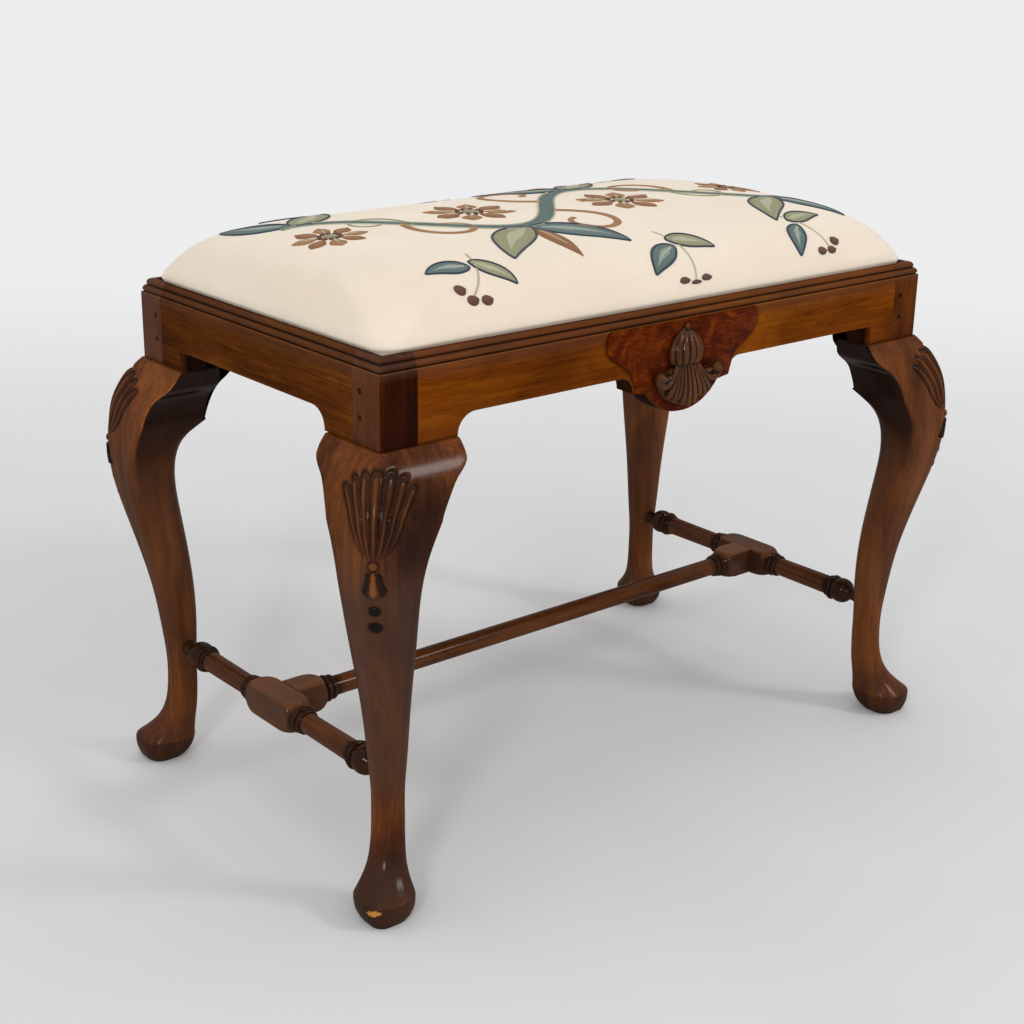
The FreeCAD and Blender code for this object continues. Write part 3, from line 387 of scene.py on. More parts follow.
PEG_WOOD = wood("peg_walnut", 2, (0.006, 0.002, 0.001), (0.016, 0.006, 0.003), (0.035, 0.013, 0.006), 0.5,
                shine=0.02)
PLAIN_X_WOOD, PLAIN_Y_WOOD = [
    wood("plain_beech_" + way, axis, (0.22, 0.12, 0.05), (0.36, 0.21, 0.10), (0.46, 0.30, 0.16), 0.62,
         shine=0.3) for axis, way in enumerate(("long", "end"))]


# Legs with knees, ears, pad feet and carving. Sections run inwards from the outer corner, along X and Y.

KNEE = circle_through((3, KNEE_TOP), (19, 357.7), (26.5, EAR_FOOT))
EAR_LOW = circle_through((62, EAR_TURN), (41.4, 348.6), (34.8, EAR_FOOT))
EAR_HIGH = circle_through((68, KNEE_TOP), (66, 373), (62, EAR_TURN))


def knee(z):
    """How far the knee stands out at a height."""
    return KNEE[0] + math.sqrt(KNEE[2] ** 2 - (z - KNEE[1]) ** 2)


def ear_edge(z):
    """Outline of the ear before its ridge is eased."""
    z = min(max(z, EAR_FOOT), KNEE_TOP)
    (centre, level, radius), side = (EAR_HIGH, 1) if z > EAR_TURN else (EAR_LOW, -1)
    return centre + side * math.sqrt(max(0.0, radius ** 2 - (z - level) ** 2))


LEVELS = [RIM, 25, 30, 36, 43, 50, 60, 78, 98, 125, 170.5, 240.5, 290.5, 308.5, EAR_FOOT]
ROUNDS = [23, 19.8, 16.8, 14.6, 13.4, 12.8, 12.2, 11.8, 11.8, 12.6]
proud_of = spline(LEVELS + [345, 358, 370, KNEE_TOP],
                  [25.5, 20.8, 15.6, 10.4, 6.2, 3.4, 1.0, -0.7, -0.9, 1.2, 7.0, 21.8, 28.8, 28.3, 26.5,
                   knee(345), knee(358), knee(370), 3])
back_of = spline(LEVELS, [22.4, 22.1, 22.0, 22.4, 23.3, 24.5, 25.6, 26.6, 26.8, 27.9, 28.2, 23.0, 21.8, 26.8,
                          37.6])
arris_of = spline(LEVELS + [350, KNEE_TOP], ROUNDS + [14.9, 15.9, 11.4, 9.6, 9, 9, 6])
side_of = spline(LEVELS + [350, 366, KNEE_TOP], ROUNDS + [14.5, 12.5, 7, 4, 2.6, 2.3, 2.5, 2])
far_of = spline(LEVELS, [9, 7.6, 6.6, 6.4, 7.2, 8.6, 10.2, 11.8, 11.8, 12.6, 15.5, 20, 19, 17, 3])
ear_more = spline([EAR_FOOT, 336, 345, 356, 368, 376, KNEE_TOP], [2.8, 4.2, 4.8, 4.0, 3.0, 1.6, 0.4])


def half_section(z, wider=0.0, deeper=0.0):
    """Half of the leg's outline at a height, from the outer arris round the front to the inner corner.

    It has 88 points: 12 round the arris, 44 and 8 along the face, 8 round its far edge, 10 along the side
    and 6 to the inner corner.
    """
    ear = z >= EAR_FOOT
    if z < RIM:
        below = 1 - z / RIM
        half = 24.5 - 4.2 * below - 6.3 * below ** 2
        proud, reach = half + 1 + 3.8 * below, 22.4 - 8.4 * below ** 3
        deep = reach
        near_round, side_round = half * (0.92 - 0.2 * below), half * 0.92
        far_round = side_round + (9 - side_round) * z / RIM
    else:
        proud = float(proud_of(z))
        reach = float(back_of(z))
        if ear:
            reach = np.mean([ear_edge(z + d) for d in (-4, -2, 0, 2, 4)]) + float(ear_more(z))
        deep = reach + deeper
        reach += wider
        limit = (proud + min(reach, deep)) / 2
        near_round, side_round = min(float(arris_of(z)), limit), min(float(side_of(z)), limit)
        far_round = 0.0 if ear else min(float(far_of(z)), EAR_FOOT - z, limit)
    deep = POST if ear else deep
    points = []
    for t in np.linspace(math.pi / 4, 0, 13)[:-1]:
        points.append((near_round * (1 - math.sin(t)) - proud, near_round * (1 - math.cos(t)) - proud))
    start, end = near_round - proud, reach - side_round
    fine = min(33.0, 0.7 * (end - start))
    for t in np.linspace(0, 1, 45)[:-1]:
        points.append((start + fine * t, -proud))
    for t in np.linspace(0, 1, 9)[:-1]:
        points.append((start + fine + (end - start - fine) * t, -proud))
    for t in np.linspace(0, math.pi / 2, 9)[:-1]:
        points.append((reach - side_round * (1 - math.sin(t)), side_round * (1 - math.cos(t)) - proud))
    low, high = side_round - proud, deep - far_round
    for t in np.linspace(0, 1, 11)[:-1]:
        points.append((reach, low + (high - low) * t))
    if ear:
        points += [(reach + (POST - reach) * t, POST) for t in np.linspace(0, 1, 6)]
    else:
        for t in np.linspace(0, math.pi / 4, 6):
            points.append((reach - far_round * (1 - math.cos(t)), deep - far_round * (1 - math.sin(t))))
    return np.array(points)


FAN_FOOT = 311.0
FAN_TOPS = [373.0, 370.5, 366.0, 359.0]
FAN_RISE = 2.6
fan_width = spline([305, 311, 315, 321.5, 330, 338.5, 346, 353, 360, 368, 385],
                   [0.2, 3, 11, 18.6, 24.5, 28.2, 32, 36.2, 39.3, 41, 41])
# The ball and two beads below the fan: level, half width, half height, rise and stain.
BEADS = ((308.0, 3.6, 3.4, 2.6, 0.0), (272.3, 4.3, 3.7, 1.4, 1.0), (258.0, 5.0, 4.0, 1.4, 1.0))
HUSK_FOOT, HUSK_TOP = 282, 303.5


def knee_relief(s, z):
    """Carving on the knee: how far it stands out, its dirt and painted shade, and its wear, at s from the
    arris and height z.
    """
    width = np.maximum(fan_width(z), 0.3)
    across = 3.5 * s / width
    flute = np.clip(np.round(across), -3, 3)
    half = width / 7
    top = np.interp(np.abs(flute), [0, 1, 2, 3], FAN_TOPS)
    cap = np.maximum(z - (top - half), 0)
    off = np.hypot((across - flute) * 2 * half, cap) / half
    inside = (off < 1) & (z > FAN_FOOT - 1)
    ridge = dome(off * 0.9)
    height = np.minimum(FAN_RISE, 0.62 * half)
    grow = smooth_step(FAN_FOOT - 1, FAN_FOOT + 6, z)
    fan = np.where(inside, (-3.1 + 3.6 * ridge) * height / FAN_RISE * grow, 0)
    beyond = np.maximum(off - 1, 0) * half
    margin = np.where(inside, 0, np.exp(-(beyond / 1.6) ** 2)) * (z > FAN_FOOT - 2) * grow
    relief = fan - 1.2 * margin
    # Painted shade in the flutes' grooves, in the sunk margin and above the flutes' tops; the whole fan is
    # painted darker.
    dirt_and_shade = np.where(inside, np.minimum((1 - ridge) ** 1.1 * 1.7, 1), margin * 0.95) * grow
    dirt_and_shade = np.maximum(dirt_and_shade, np.where(inside, smooth_step(0.55, 1.0, cap / np.maximum(half, 1)) * 0.8, 0))
    dirt_and_shade = np.maximum(dirt_and_shade, np.where(inside, 0.58 * grow, 0))
    wear_and_light = np.where(inside, smooth_step(0.95, 1.0, ridge) * 0.7, 0) * grow

    for level, wide, tall, rise, stain in BEADS:
        off = np.hypot(s / wide, (z - level) / tall)
        groove = np.exp(-((off - 1.05) / 0.22) ** 2)
        relief = np.where(off < 1, rise * dome(off) - 0.6, relief - 0.7 * groove)
        # Painted shade in the groove round each bead; the two beads are stained dark.
        dirt_and_shade = np.maximum(dirt_and_shade * (off >= 1), np.maximum(groove * 0.95, np.where(off < 1, stain, 0)))
        wear_and_light = np.where(off < 1, dome(off) * (stain == 0), wear_and_light)

    # The husk between the ball and the beads: a bell of three petals.
    bell = np.interp(z, [HUSK_FOOT, 284, 287, 289, 294, 300, HUSK_TOP], [0.5, 5.0, 10.2, 9.6, 7.0, 5.6, 3.0])
    across = np.abs(s) / bell
    body = (z > HUSK_FOOT) & (z < HUSK_TOP)
    petal = np.abs((across * 1.5 + 0.5) % 1 - 0.5) * 2
    notch = np.interp(across, [0, 0.33, 0.55, 1.0], [283.0, 287.5, 285.5, 287.0])
    inside = body & (across < 1) & (z > notch)
    edge = np.exp(-((across - 1) * bell / 1.3) ** 2) * smooth_step(281, 285, z) * smooth_step(305, 302, z)
    relief = np.where(inside, -0.4 + 2.0 * dome(petal * 0.9),
                      relief - np.where(body & (across >= 1), edge, 0))
    middle = smooth_step(0.5, 0.22, across)
    # Painted shade between the petals and round the husk; its sides are darker than its middle.
    dirt_and_shade = np.where(inside, np.maximum(petal ** 3 * 0.9, 0.85 * (1 - middle)),
                    np.maximum(dirt_and_shade, np.where(body, edge, 0)))
    wear_and_light = np.where(inside, dome(petal) * 1.6 * middle, wear_and_light)
    return relief, dirt_and_shade, wear_and_light


def corner_points(points, corner):
    """Points of the front left corner moved to another one."""
    sx, sy = corner
    moved = np.array(points, float)
    moved[:, 0] = sx * (HALF_X - moved[:, 0])
    moved[:, 1] = sy * (HALF_Y - moved[:, 1])
    return moved


def both_halves(*parts):
    """Values of a half section's points, for the whole section."""
    values = np.concatenate(parts)
    return np.concatenate([values, values[::-1][1:-1]])


# How much each point of a section lies on the inner side, on the rounded edge before it,
# or in the middle of that edge.
INNER = both_halves(np.zeros(69), [0.4, 0.8, 1], np.ones(16))
EDGE = both_halves(np.zeros(61), [0.2, 0.5, 0.8], np.ones(8), [0.8, 0.5, 0.2], np.zeros(13))
WORN_LINE = both_halves(np.zeros(65), [0.4, 1, 1, 1, 0.4], np.zeros(18))
LEG_LEVELS = np.concatenate([
    [0, 0.4, 1.2, 2.4, 4, 6, 8, 10, 11.5, 12.5, 13.5, 14.5, 15.5, 16.5, 17.5, 18.5, 19.6, 20.4],
    [RIM, 21.5, 22.5, 24.5, 27, 30.5, 35, 40, 46], np.arange(52, 250, 5.5), np.arange(250.5, 381, 0.75),
    [381.1, KNEE_TOP]])


def leg_form(long_more, end_more, worn, painted_light_and_dark_foot=0.1, chipped=0, painted_sheen_share=0.3, painted_lightening=0.4):
    """Points, paint and painted sheen of a leg with both ears: how much wider each side is, its marks of age,
    and its painted light, shade and sheen.
    """
    rows, spread = [], []
    for z in LEG_LEVELS:
        more, less = long_more(z), end_more(z)
        half, other = half_section(z, more, less), half_section(z, less, more)
        if z == KNEE_TOP:
            half, other = half + (half < 0) * 0.35, other + (other < 0) * 0.35
        section = np.concatenate([half, other[::-1, ::-1][1:-1]])
        rows.append(np.column_stack([section, np.full(len(section), z)]))
        spread.append(np.concatenate([run_along(half), -run_along(other)[::-1][1:-1]]))
    grid, s = np.array(rows), np.array(spread)
    around = np.roll(grid, -1, 1) - np.roll(grid, 1, 1)
    normal = unit(np.cross(around, np.gradient(grid, axis=0)))
    z, outer = grid[:, :, 2], 1 - INNER
    relief, dirt_and_shade, wear_and_light = knee_relief(s, z)
    # Painted shade on the knee's front face right of the fan, below its sheen.
    painted_shade = smooth_step(14, 24, s) * smooth_step(280, 310, z) * smooth_step(368, 350, z) * outer
    # Painted shade on the inner faces under the ears, on the band below the rim, on the far rounded edges and
    # right of the fan; a dark line along the rim; the near foot is darker.
    dirt_and_shade = np.maximum.reduce([
        dirt_and_shade, INNER * np.interp(z, [0, 60, 240, 280, 305, 335], [0, 0, 0.1, 0.4, 0.75, 0.92]),
        0.4 * outer * np.exp(-((z - RIM - 0.6) / 0.7) ** 2), painted_light_and_dark_foot * smooth_step(80, 40, z),
        0.5 * smooth_step(21.4, 20.2, z), 0.15 * EDGE * smooth_step(40, 90, z) * smooth_step(345, 320, z),
        1.3 * painted_light_and_dark_foot * painted_shade])
    # Painted light on the knee left of the fan.
    painted_light = smooth_step(-8, -16, s) * smooth_step(260, 300, z) * smooth_step(381, 370, z) * outer * (1 - EDGE)
    ragged = 0.6 + 0.4 * np.sin(0.9 * z) * np.sin(0.37 * z + 1)
    # Wear on the ears' edges and the knee's top, with painted light left of the fan and a painted lighter
    # tone on the other three legs.
    wear_and_light = np.maximum.reduce([
        wear_and_light, 0.86 * painted_light_and_dark_foot * painted_light * np.clip(1 - 2.5 * dirt_and_shade, 0, 1),
        WORN_LINE * 2.6 * ragged * worn * smooth_step(318, 336, z) * smooth_step(379, 374, z),
        0.35 * smooth_step(380.2, 381.0, z) * outer,
        painted_lightening * (1 - np.clip(dirt_and_shade, 0, 1)) ** 2 * smooth_step(30, 60, z)])
    chip = np.minimum(np.hypot((s + 6) / 4.2, (z - 15.4) / 2.5), np.hypot((s + 2.2) / 3.6, (z - 16.6) / 1.9))
    chip += 0.16 * np.sin(2.3 * s + z) + 0.12 * np.sin(1.3 * s - 2.9 * z)
    # Painted sheen: a grey reflection tint on the shins and the feet.
    painted_sheen = painted_sheen_share * (smooth_step(75, 130, z) * smooth_step(325, 270, z) + smooth_step(60, 35, z))
    paint = np.stack([np.clip(dirt_and_shade, 0, 1), np.clip(wear_and_light, 0, 1.6) * 0.55, (chip < 1) * chipped,
                      np.ones(s.shape)], axis=2)
    return grid + normal * relief[:, :, None], paint, painted_sheen


def cut(bm, where, axis, keep_less):
    """Keep one side of a plane and close the cut."""
    normal, point = Vector((0, 0, 0)), Vector((0, 0, 0))
    normal[axis], point[axis] = 1, where * MM
    everything = bm.verts[:] + bm.edges[:] + bm.faces[:]
    bmesh.ops.bisect_plane(bm, geom=everything, dist=1e-7, plane_co=point, plane_no=normal,
                           clear_outer=keep_less, clear_inner=not keep_less)
    bmesh.ops.holes_fill(bm, edges=[e for e in bm.edges if e.is_boundary], sides=0)


# Profile of the rails' top edge: inset, height, dirt with painted shade in its quirks, and wear.
MOULDING = [(0, 438.3, 0, 0.1), (0.12, 438.9, 0, 0.7), (0.5, 439.35, 0, 1.0), (1.1, 439.45, 0.5, 0.3),
            (1.7, 439.6, 0.8, 0), (1.75, 440.5, 0.8, 0), (1.25, 440.8, 0.4, 0), (0.95, 441.4, 0, 0),
            (1.0, 442.4, 0, 0.1), (1.35, 443.4, 0, 0.2), (1.95, 444.3, 0, 0.2), (2.7, 444.95, 0, 0.1),
            (3.3, 445.2, 0.5, 0), (4.0, 445.3, 0.8, 0), (4.05, 446.2, 0.8, 0), (3.7, 446.5, 0.4, 0),
            (3.6, 447.1, 0, 0.1), (3.8, 448.2, 0, 0.15), (4.3, 449.3, 0, 0.2), (5.0, 450.1, 0, 0.3),
            (6.0, FRAME_TOP, 0, 0.15)]
# How much painted sheen the moulding takes, on posts and rails.
MOULDING_PAINTED_SHEEN = 0.5
WEAR_SHARE = 0.5
POST_ROUND = 1.8


def make_post(stem, corner, flip):
    """The square post with its rounded arris and the moulding mitred round it."""
    turns = [(POST_ROUND * (1 - math.sin(t)), POST_ROUND * (1 - math.cos(t)))
             for t in np.linspace(math.pi / 2, 0, 7)]
    plain = [(0, z, 0, 0) for z in np.arange(KNEE_TOP, LEDGE, 10.2)] + [(0, LEDGE, 0, 0)]
    rebated = [(POST, LIP), (LIP, LIP), (LIP, POST)]
    tubes, paint, painted_sheen = Tubes(), [], []
    for levels, inner in ((plain, [(POST, POST)]), ([(0, LEDGE, 0, 0)] + MOULDING, rebated)):
        loops = []
        for inset, z, dirt_and_shade, wear_and_light in levels:
            plan = [(inset + a, inset + b) for a, b in turns] + [(POST, inset)] + inner + [(inset, POST)]
            loops.append(corner_points([(a, b, z) for a, b in plan], corner))
            # The moulding brings its painted shade in the quirks, and above the ledge a painted sheen.
            paint += [(dirt_and_shade, wear_and_light * WEAR_SHARE, 0, 1)] * len(plan)
            painted_sheen += [MOULDING_PAINTED_SHEEN * (z > LEDGE)] * len(plan)
        tubes.add(loops, flip)
    post = mesh_object("visual_post_" + stem, tubes.points, tubes.faces, 30, paint, painted_sheen=painted_sheen)
    # Painted light and shade: the near post's faces along Y take the darkest copy, the other posts' a lighter
    # one, and faces along X the side-lit copy.
    place(post, POST_SHADED_WOOD if stem == "front_left" else POST_FAR_LIT_WOOD, "leg_wood", "frame")
    post.data.materials.append(POST_SIDE_LIT_WOOD)
    for face in post.data.polygons:
        face.material_index = 1 if abs(face.normal.x) > 0.72 else 0


def make_leg(stem, corner, form):
    """Leg, both ears and post of one corner."""
    grid, paint, painted_sheen = form
    flip = corner[0] * corner[1] < 0
    faces = tube_faces(*grid.shape[:2], flip)
    points = corner_points(grid.reshape(-1, 3), corner)
    whole = mesh_object("knee_" + stem, points, faces, 40, paint, painted_sheen=painted_sheen)
    x_cut, y_cut = corner[0] * (HALF_X - POST), corner[1] * (HALF_Y - POST)
    pieces = {"leg_%s": ((x_cut, 0, corner[0] < 0), (y_cut, 1, corner[1] < 0)),
              "knee_block_%s_long": ((x_cut, 0, corner[0] > 0),),
              "knee_block_%s_end": ((y_cut, 1, corner[1] > 0),)}
    for name, cuts in pieces.items():
        bm = bmesh.new()
        bm.from_mesh(whole.data)
        for where, axis, keep_less in cuts:
            cut(bm, where, axis, keep_less)
        mesh = bpy.data.meshes.new("visual_" + name % stem)
        bm.to_mesh(mesh)
        bm.free()
        piece = finish_mesh(bpy.data.objects.new("visual_" + name % stem, mesh), 60)
        place(piece, LEG_WOOD, "leg_wood", "frame", name % stem)
    bpy.data.objects.remove(whole)
    make_post(stem, corner, flip)


def eased(levels, values):
    """Straight runs between values, rounded off over 16 mm."""
    return lambda z: float(np.mean(np.interp(z + np.linspace(-8, 8, 9), levels, values)))


EVEN = eased([0, 400], [0, 0])
NEAR_LONG = eased([0, 336, 350, 360, 372, 382], [0, 0, 3.8, 4.5, 3.4, 3.0])
NEAR_END = eased([0, 285, 305, 320, 335, 346, 360, 372, 382], [0, 0, -2, -3.5, -4.4, -4.2, -2.5, -2.0, -0.5])
# The near leg has a darker foot, a chip and the strongest painted light, shade and sheen; the other three
# take a painted lighter tone.
LEG_FORMS = {
    "front_left": leg_form(NEAR_LONG, NEAR_END, 0.15, painted_light_and_dark_foot=0.35, chipped=0.85, painted_sheen_share=0.65, painted_lightening=0),
    "front_right": leg_form(EVEN, EVEN, 0.15),
    "back_left": leg_form(EVEN, EVEN, 1.0),
    "back_right": leg_form(EVEN, EVEN, 0.4),
}
for stem, corner in CORNERS.items():
    make_leg(stem, corner, LEG_FORMS[stem])


# Rails. Points run along from left to right as seen from outside, in from the outer face, and up.

RAIL_PLACES = {
    "front": lambda p: np.column_stack([p[:, 0], p[:, 1] - HALF_Y, p[:, 2]]),
    "back": lambda p: np.column_stack([-p[:, 0], HALF_Y - p[:, 1], p[:, 2]]),
    "left": lambda p: np.column_stack([p[:, 1] - HALF_X, -p[:, 0], p[:, 2]]),
    "right": lambda p: np.column_stack([HALF_X - p[:, 1], p[:, 0], p[:, 2]]),
}
PENDANT_HALF, PENDANT_SIDE, PENDANT_LOW = 41, 382.5, 361
COVE, COVE_FOOT, COVE_END = 14, 384.5, 68.5
BRACKET, BRACKET_ROUND, BRACKET_BACK, BRACKET_SPAN = 37, 17, 7.0, (56, 30)


def bow(half, side, low, count):
    """Points of an arc that hangs from a level, from its middle to its right end."""
    level, radius = circle_through((-half, side), (0, low), (half, side))[1:]
    return [(x, level - math.sqrt(radius ** 2 - x * x)) for x in np.linspace(0, half, count)]


def rail_edge(half, pendant):
    """Lower outline of a rail from its middle to its right end, as (along, height)."""
    outline = [(0, RAIL_LOW)]
    if pendant:
        outline = bow(PENDANT_HALF, PENDANT_SIDE, PENDANT_LOW, 15) + [(COVE_END - COVE, COVE_FOOT)]
        for t in np.linspace(0, math.pi / 2, 10)[1:]:
            outline.append((COVE_END - COVE * math.cos(t), COVE_FOOT + COVE * math.sin(t)))
    bracket = half - BRACKET - BRACKET_ROUND
    for x in np.linspace(outline[-1][0], bracket, 8)[1:-1]:
        outline.append((x, RAIL_LOW))
    for t in np.linspace(math.pi / 2, 0, 13):
        outline.append((bracket + BRACKET_ROUND * math.cos(t), KNEE_TOP + BRACKET_ROUND * math.sin(t)))
    return outline + [(half - 30.5, KNEE_TOP), (half - 29.5, KNEE_TOP), (half, KNEE_TOP)]


def make_rail(side, half, pendant, material, far_end):
    """A rail with moulded top edge, seat ledge and shaped lower edge; one end's bracket may be set back and
    painted near-black as shade.
    """
    right = rail_edge(half, pendant)
    loops, paint, painted_sheen = [], [], []
    for x, z in [(-x, z) for x, z in right[:0:-1]] + right:
        far = half - BRACKET_SPAN[0] < x * far_end < half - BRACKET_SPAN[1]
        # Painted shade: the set-back bracket is painted near-black, for the shadow on the bracket's edge.
        back = BRACKET_BACK if far and z < RAIL_LOW - 1 else 0.0
        dark, rubbed = (0.93, 0) if back else (0, 0.35)
        # Painted shade on the lower arris, with wear just above it.
        face = [(1.2 + back, z, 0.9, 0), (0.35 + back, z + 0.35, dark, rubbed),
                (back, z + 1.2, dark, rubbed * 0.6), (back, max(RAIL_LOW - 0.2, z + 1.5), dark, 0),
                (0, max(RAIL_LOW, z + 1.8), 0, 0.2)]
        face += [(0, RAIL_LOW + 3 + 36 * t, 0, 0) for t in (0.0, 0.35, 0.7)]
        # Painted shade in the rebate and on the inner face's lower edge.
        inner = [(LIP - 0.5, FRAME_TOP, 0.4, 0), (LIP, FRAME_TOP - 0.5, 0.8, 0), (LIP, LEDGE, 0.8, 0),
                 (RAIL_THICK - 0.7, LEDGE, 0, 0), (RAIL_THICK, LEDGE - 0.7, 0, 0),
                 (RAIL_THICK, z + 0.8, 0.9, 0), (RAIL_THICK - 0.8, z, 0.9, 0)]
        section = face + MOULDING + inner
        loops.append([(x, depth, height) for depth, height, dirt_and_shade, wear_and_light in section])
        paint += [(dirt_and_shade, wear_and_light * WEAR_SHARE, 0, 1) for depth, height, dirt_and_shade, wear_and_light in section]
        # Painted sheen on the moulding.
        painted_sheen += [0] * len(face) + [MOULDING_PAINTED_SHEEN] * len(MOULDING) + [0] * len(inner)
    points = RAIL_PLACES[side](np.array(loops).reshape(-1, 3))
    faces = tube_faces(len(loops), len(loops[0]))
    rail = recalculated(mesh_object("visual_%s_rail" % side, points, faces, 30, paint, painted_sheen=painted_sheen))
    place(rail, material, "rail_wood", "frame", "%s_rail" % side)


for side, half, pendant, material, far_end in (
        ("front", 271, True, RAIL_X_WOOD, 1), ("back", 271, True, RAIL_X_WOOD, 0),
        ("left", 140.5, False, RAIL_Y_WOOD, -1), ("right", 140.5, False, RAIL_Y_WOOD, 0)):
    make_rail(side, half, pendant, material, far_end)


def make_plaque(side):
    """The burl panel on an apron, with round lobes and eased edges."""
    width = spline(range(9), [82.5, 85.6, 86.5, 84.8, 78, 69, 61, 56.5, 53.5])
    level = spline(range(9), [439, 434.5, 429, 421.5, 414.5, 409.4, 403.5, 394.5, 384.5])
    right = [(float(width(t)), float(level(t))) for t in np.linspace(0, 8, 49)]
    right += bow(40, 382.5, 362, 16)[::-1]
    outline = np.array(right + [(-x, z) for x, z in right[-2::-1]])
    inward = right_of(outline)
    loops = []
    for depth, inset in ((0.5, 0), (-1.7, 0), (-2.2, 0.2), (-2.5, 0.9)):
        edge = outline + inward * inset
        loops.append(np.column_stack([edge[:, 0], np.full(len(edge), depth), edge[:, 1]]))
    points = RAIL_PLACES[side](np.concatenate(loops))
    panel = recalculated(mesh_object("visual_%s_plaque" % side, points, tube_faces(len(loops), len(outline))))
    place(panel, BURL, "burl_veneer", "frame", "%s_apron_plaque" % side)


def lobe(path, width, thick):
    """Loops of a lobe along a path of (x, depth, z) points; width and thick give half sizes along it."""
    path = np.array(path, float)
    ahead = unit(np.gradient(path, axis=0))
    across = unit(np.cross(ahead, np.array([0, 1.0, 0])))
    out = np.cross(ahead, across)
    return [[p + a * w * math.cos(t) + o * h * math.sin(t) for t in np.linspace(0, 2 * math.pi, 13)[:-1]]
            for p, a, o, w, h in zip(path, across, out, width, thick)]


def upright(x, depth, levels):
    """A path straight up or down a rail's face."""
    return np.column_stack([np.full(len(levels), x), np.full(len(levels), depth), levels])


def apply_modifiers(obj):
    """Make an object's mesh what its modifiers show."""
    bpy.context.view_layer.update()
    graph = bpy.context.evaluated_depsgraph_get()
    mesh = bpy.data.meshes.new_from_object(obj.evaluated_get(graph), depsgraph=graph)
    obj.modifiers.clear()
    obj.data = mesh


def paint_hollows(obj):
    """Dirt and painted shade where a dense mesh is hollow, and wear where it stands up, by how far smoothing
    moves a point.
    """
    mesh = obj.data
    count = len(mesh.vertices)
    spots, normals, edges = np.zeros(count * 3), np.zeros(count * 3), np.zeros(len(mesh.edges) * 2, int)
    mesh.vertices.foreach_get("co", spots)
    mesh.vertices.foreach_get("normal", normals)
    mesh.edges.foreach_get("vertices", edges)
    spots, normals, edges = spots.reshape(-1, 3) / MM, normals.reshape(-1, 3), edges.reshape(-1, 2)
    near = np.bincount(edges.ravel(), minlength=count)[:, None]
    smoothed = spots.copy()
    for turn in range(14):
        total = np.zeros_like(spots)
        for axis in range(3):
            total[:, axis] = np.bincount(edges[:, 0], smoothed[edges[:, 1], axis], count)
            total[:, axis] += np.bincount(edges[:, 1], smoothed[edges[:, 0], axis], count)
        smoothed = (smoothed + total / np.maximum(near, 1)) / 2
    rise = np.einsum("ij,ij->i", smoothed - spots, normals)
    paint_points(mesh, np.column_stack([np.clip(rise / 0.11, 0, 1), np.clip(-rise / 0.6, 0, 0.22),
                                        np.zeros(count), np.ones(count)]))


SHELL_SHIFT, SHELL_MIDDLE = (-1.0, -1.5, 0), 386
SHELL_VOXEL = 0.0006
# Flutes of the skirt: how far out the neck and the foot lie, level of the foot, and half width.
FLUTES = ((0, 0, 367.5, 3.1), (4.2, 6.5, 369.0, 3.0), (7.8, 13, 374.5, 2.9), (11, 18.5, 373.2, 3.0),
          (13, 24, 377.0, 3.0))
SHELL_BACKING = [(0, 366), (11, 369.5), (22, 374.5), (31, 383), (34, 391), (31, 397), (21, 397), (12, 404),
                 (0, 406)]


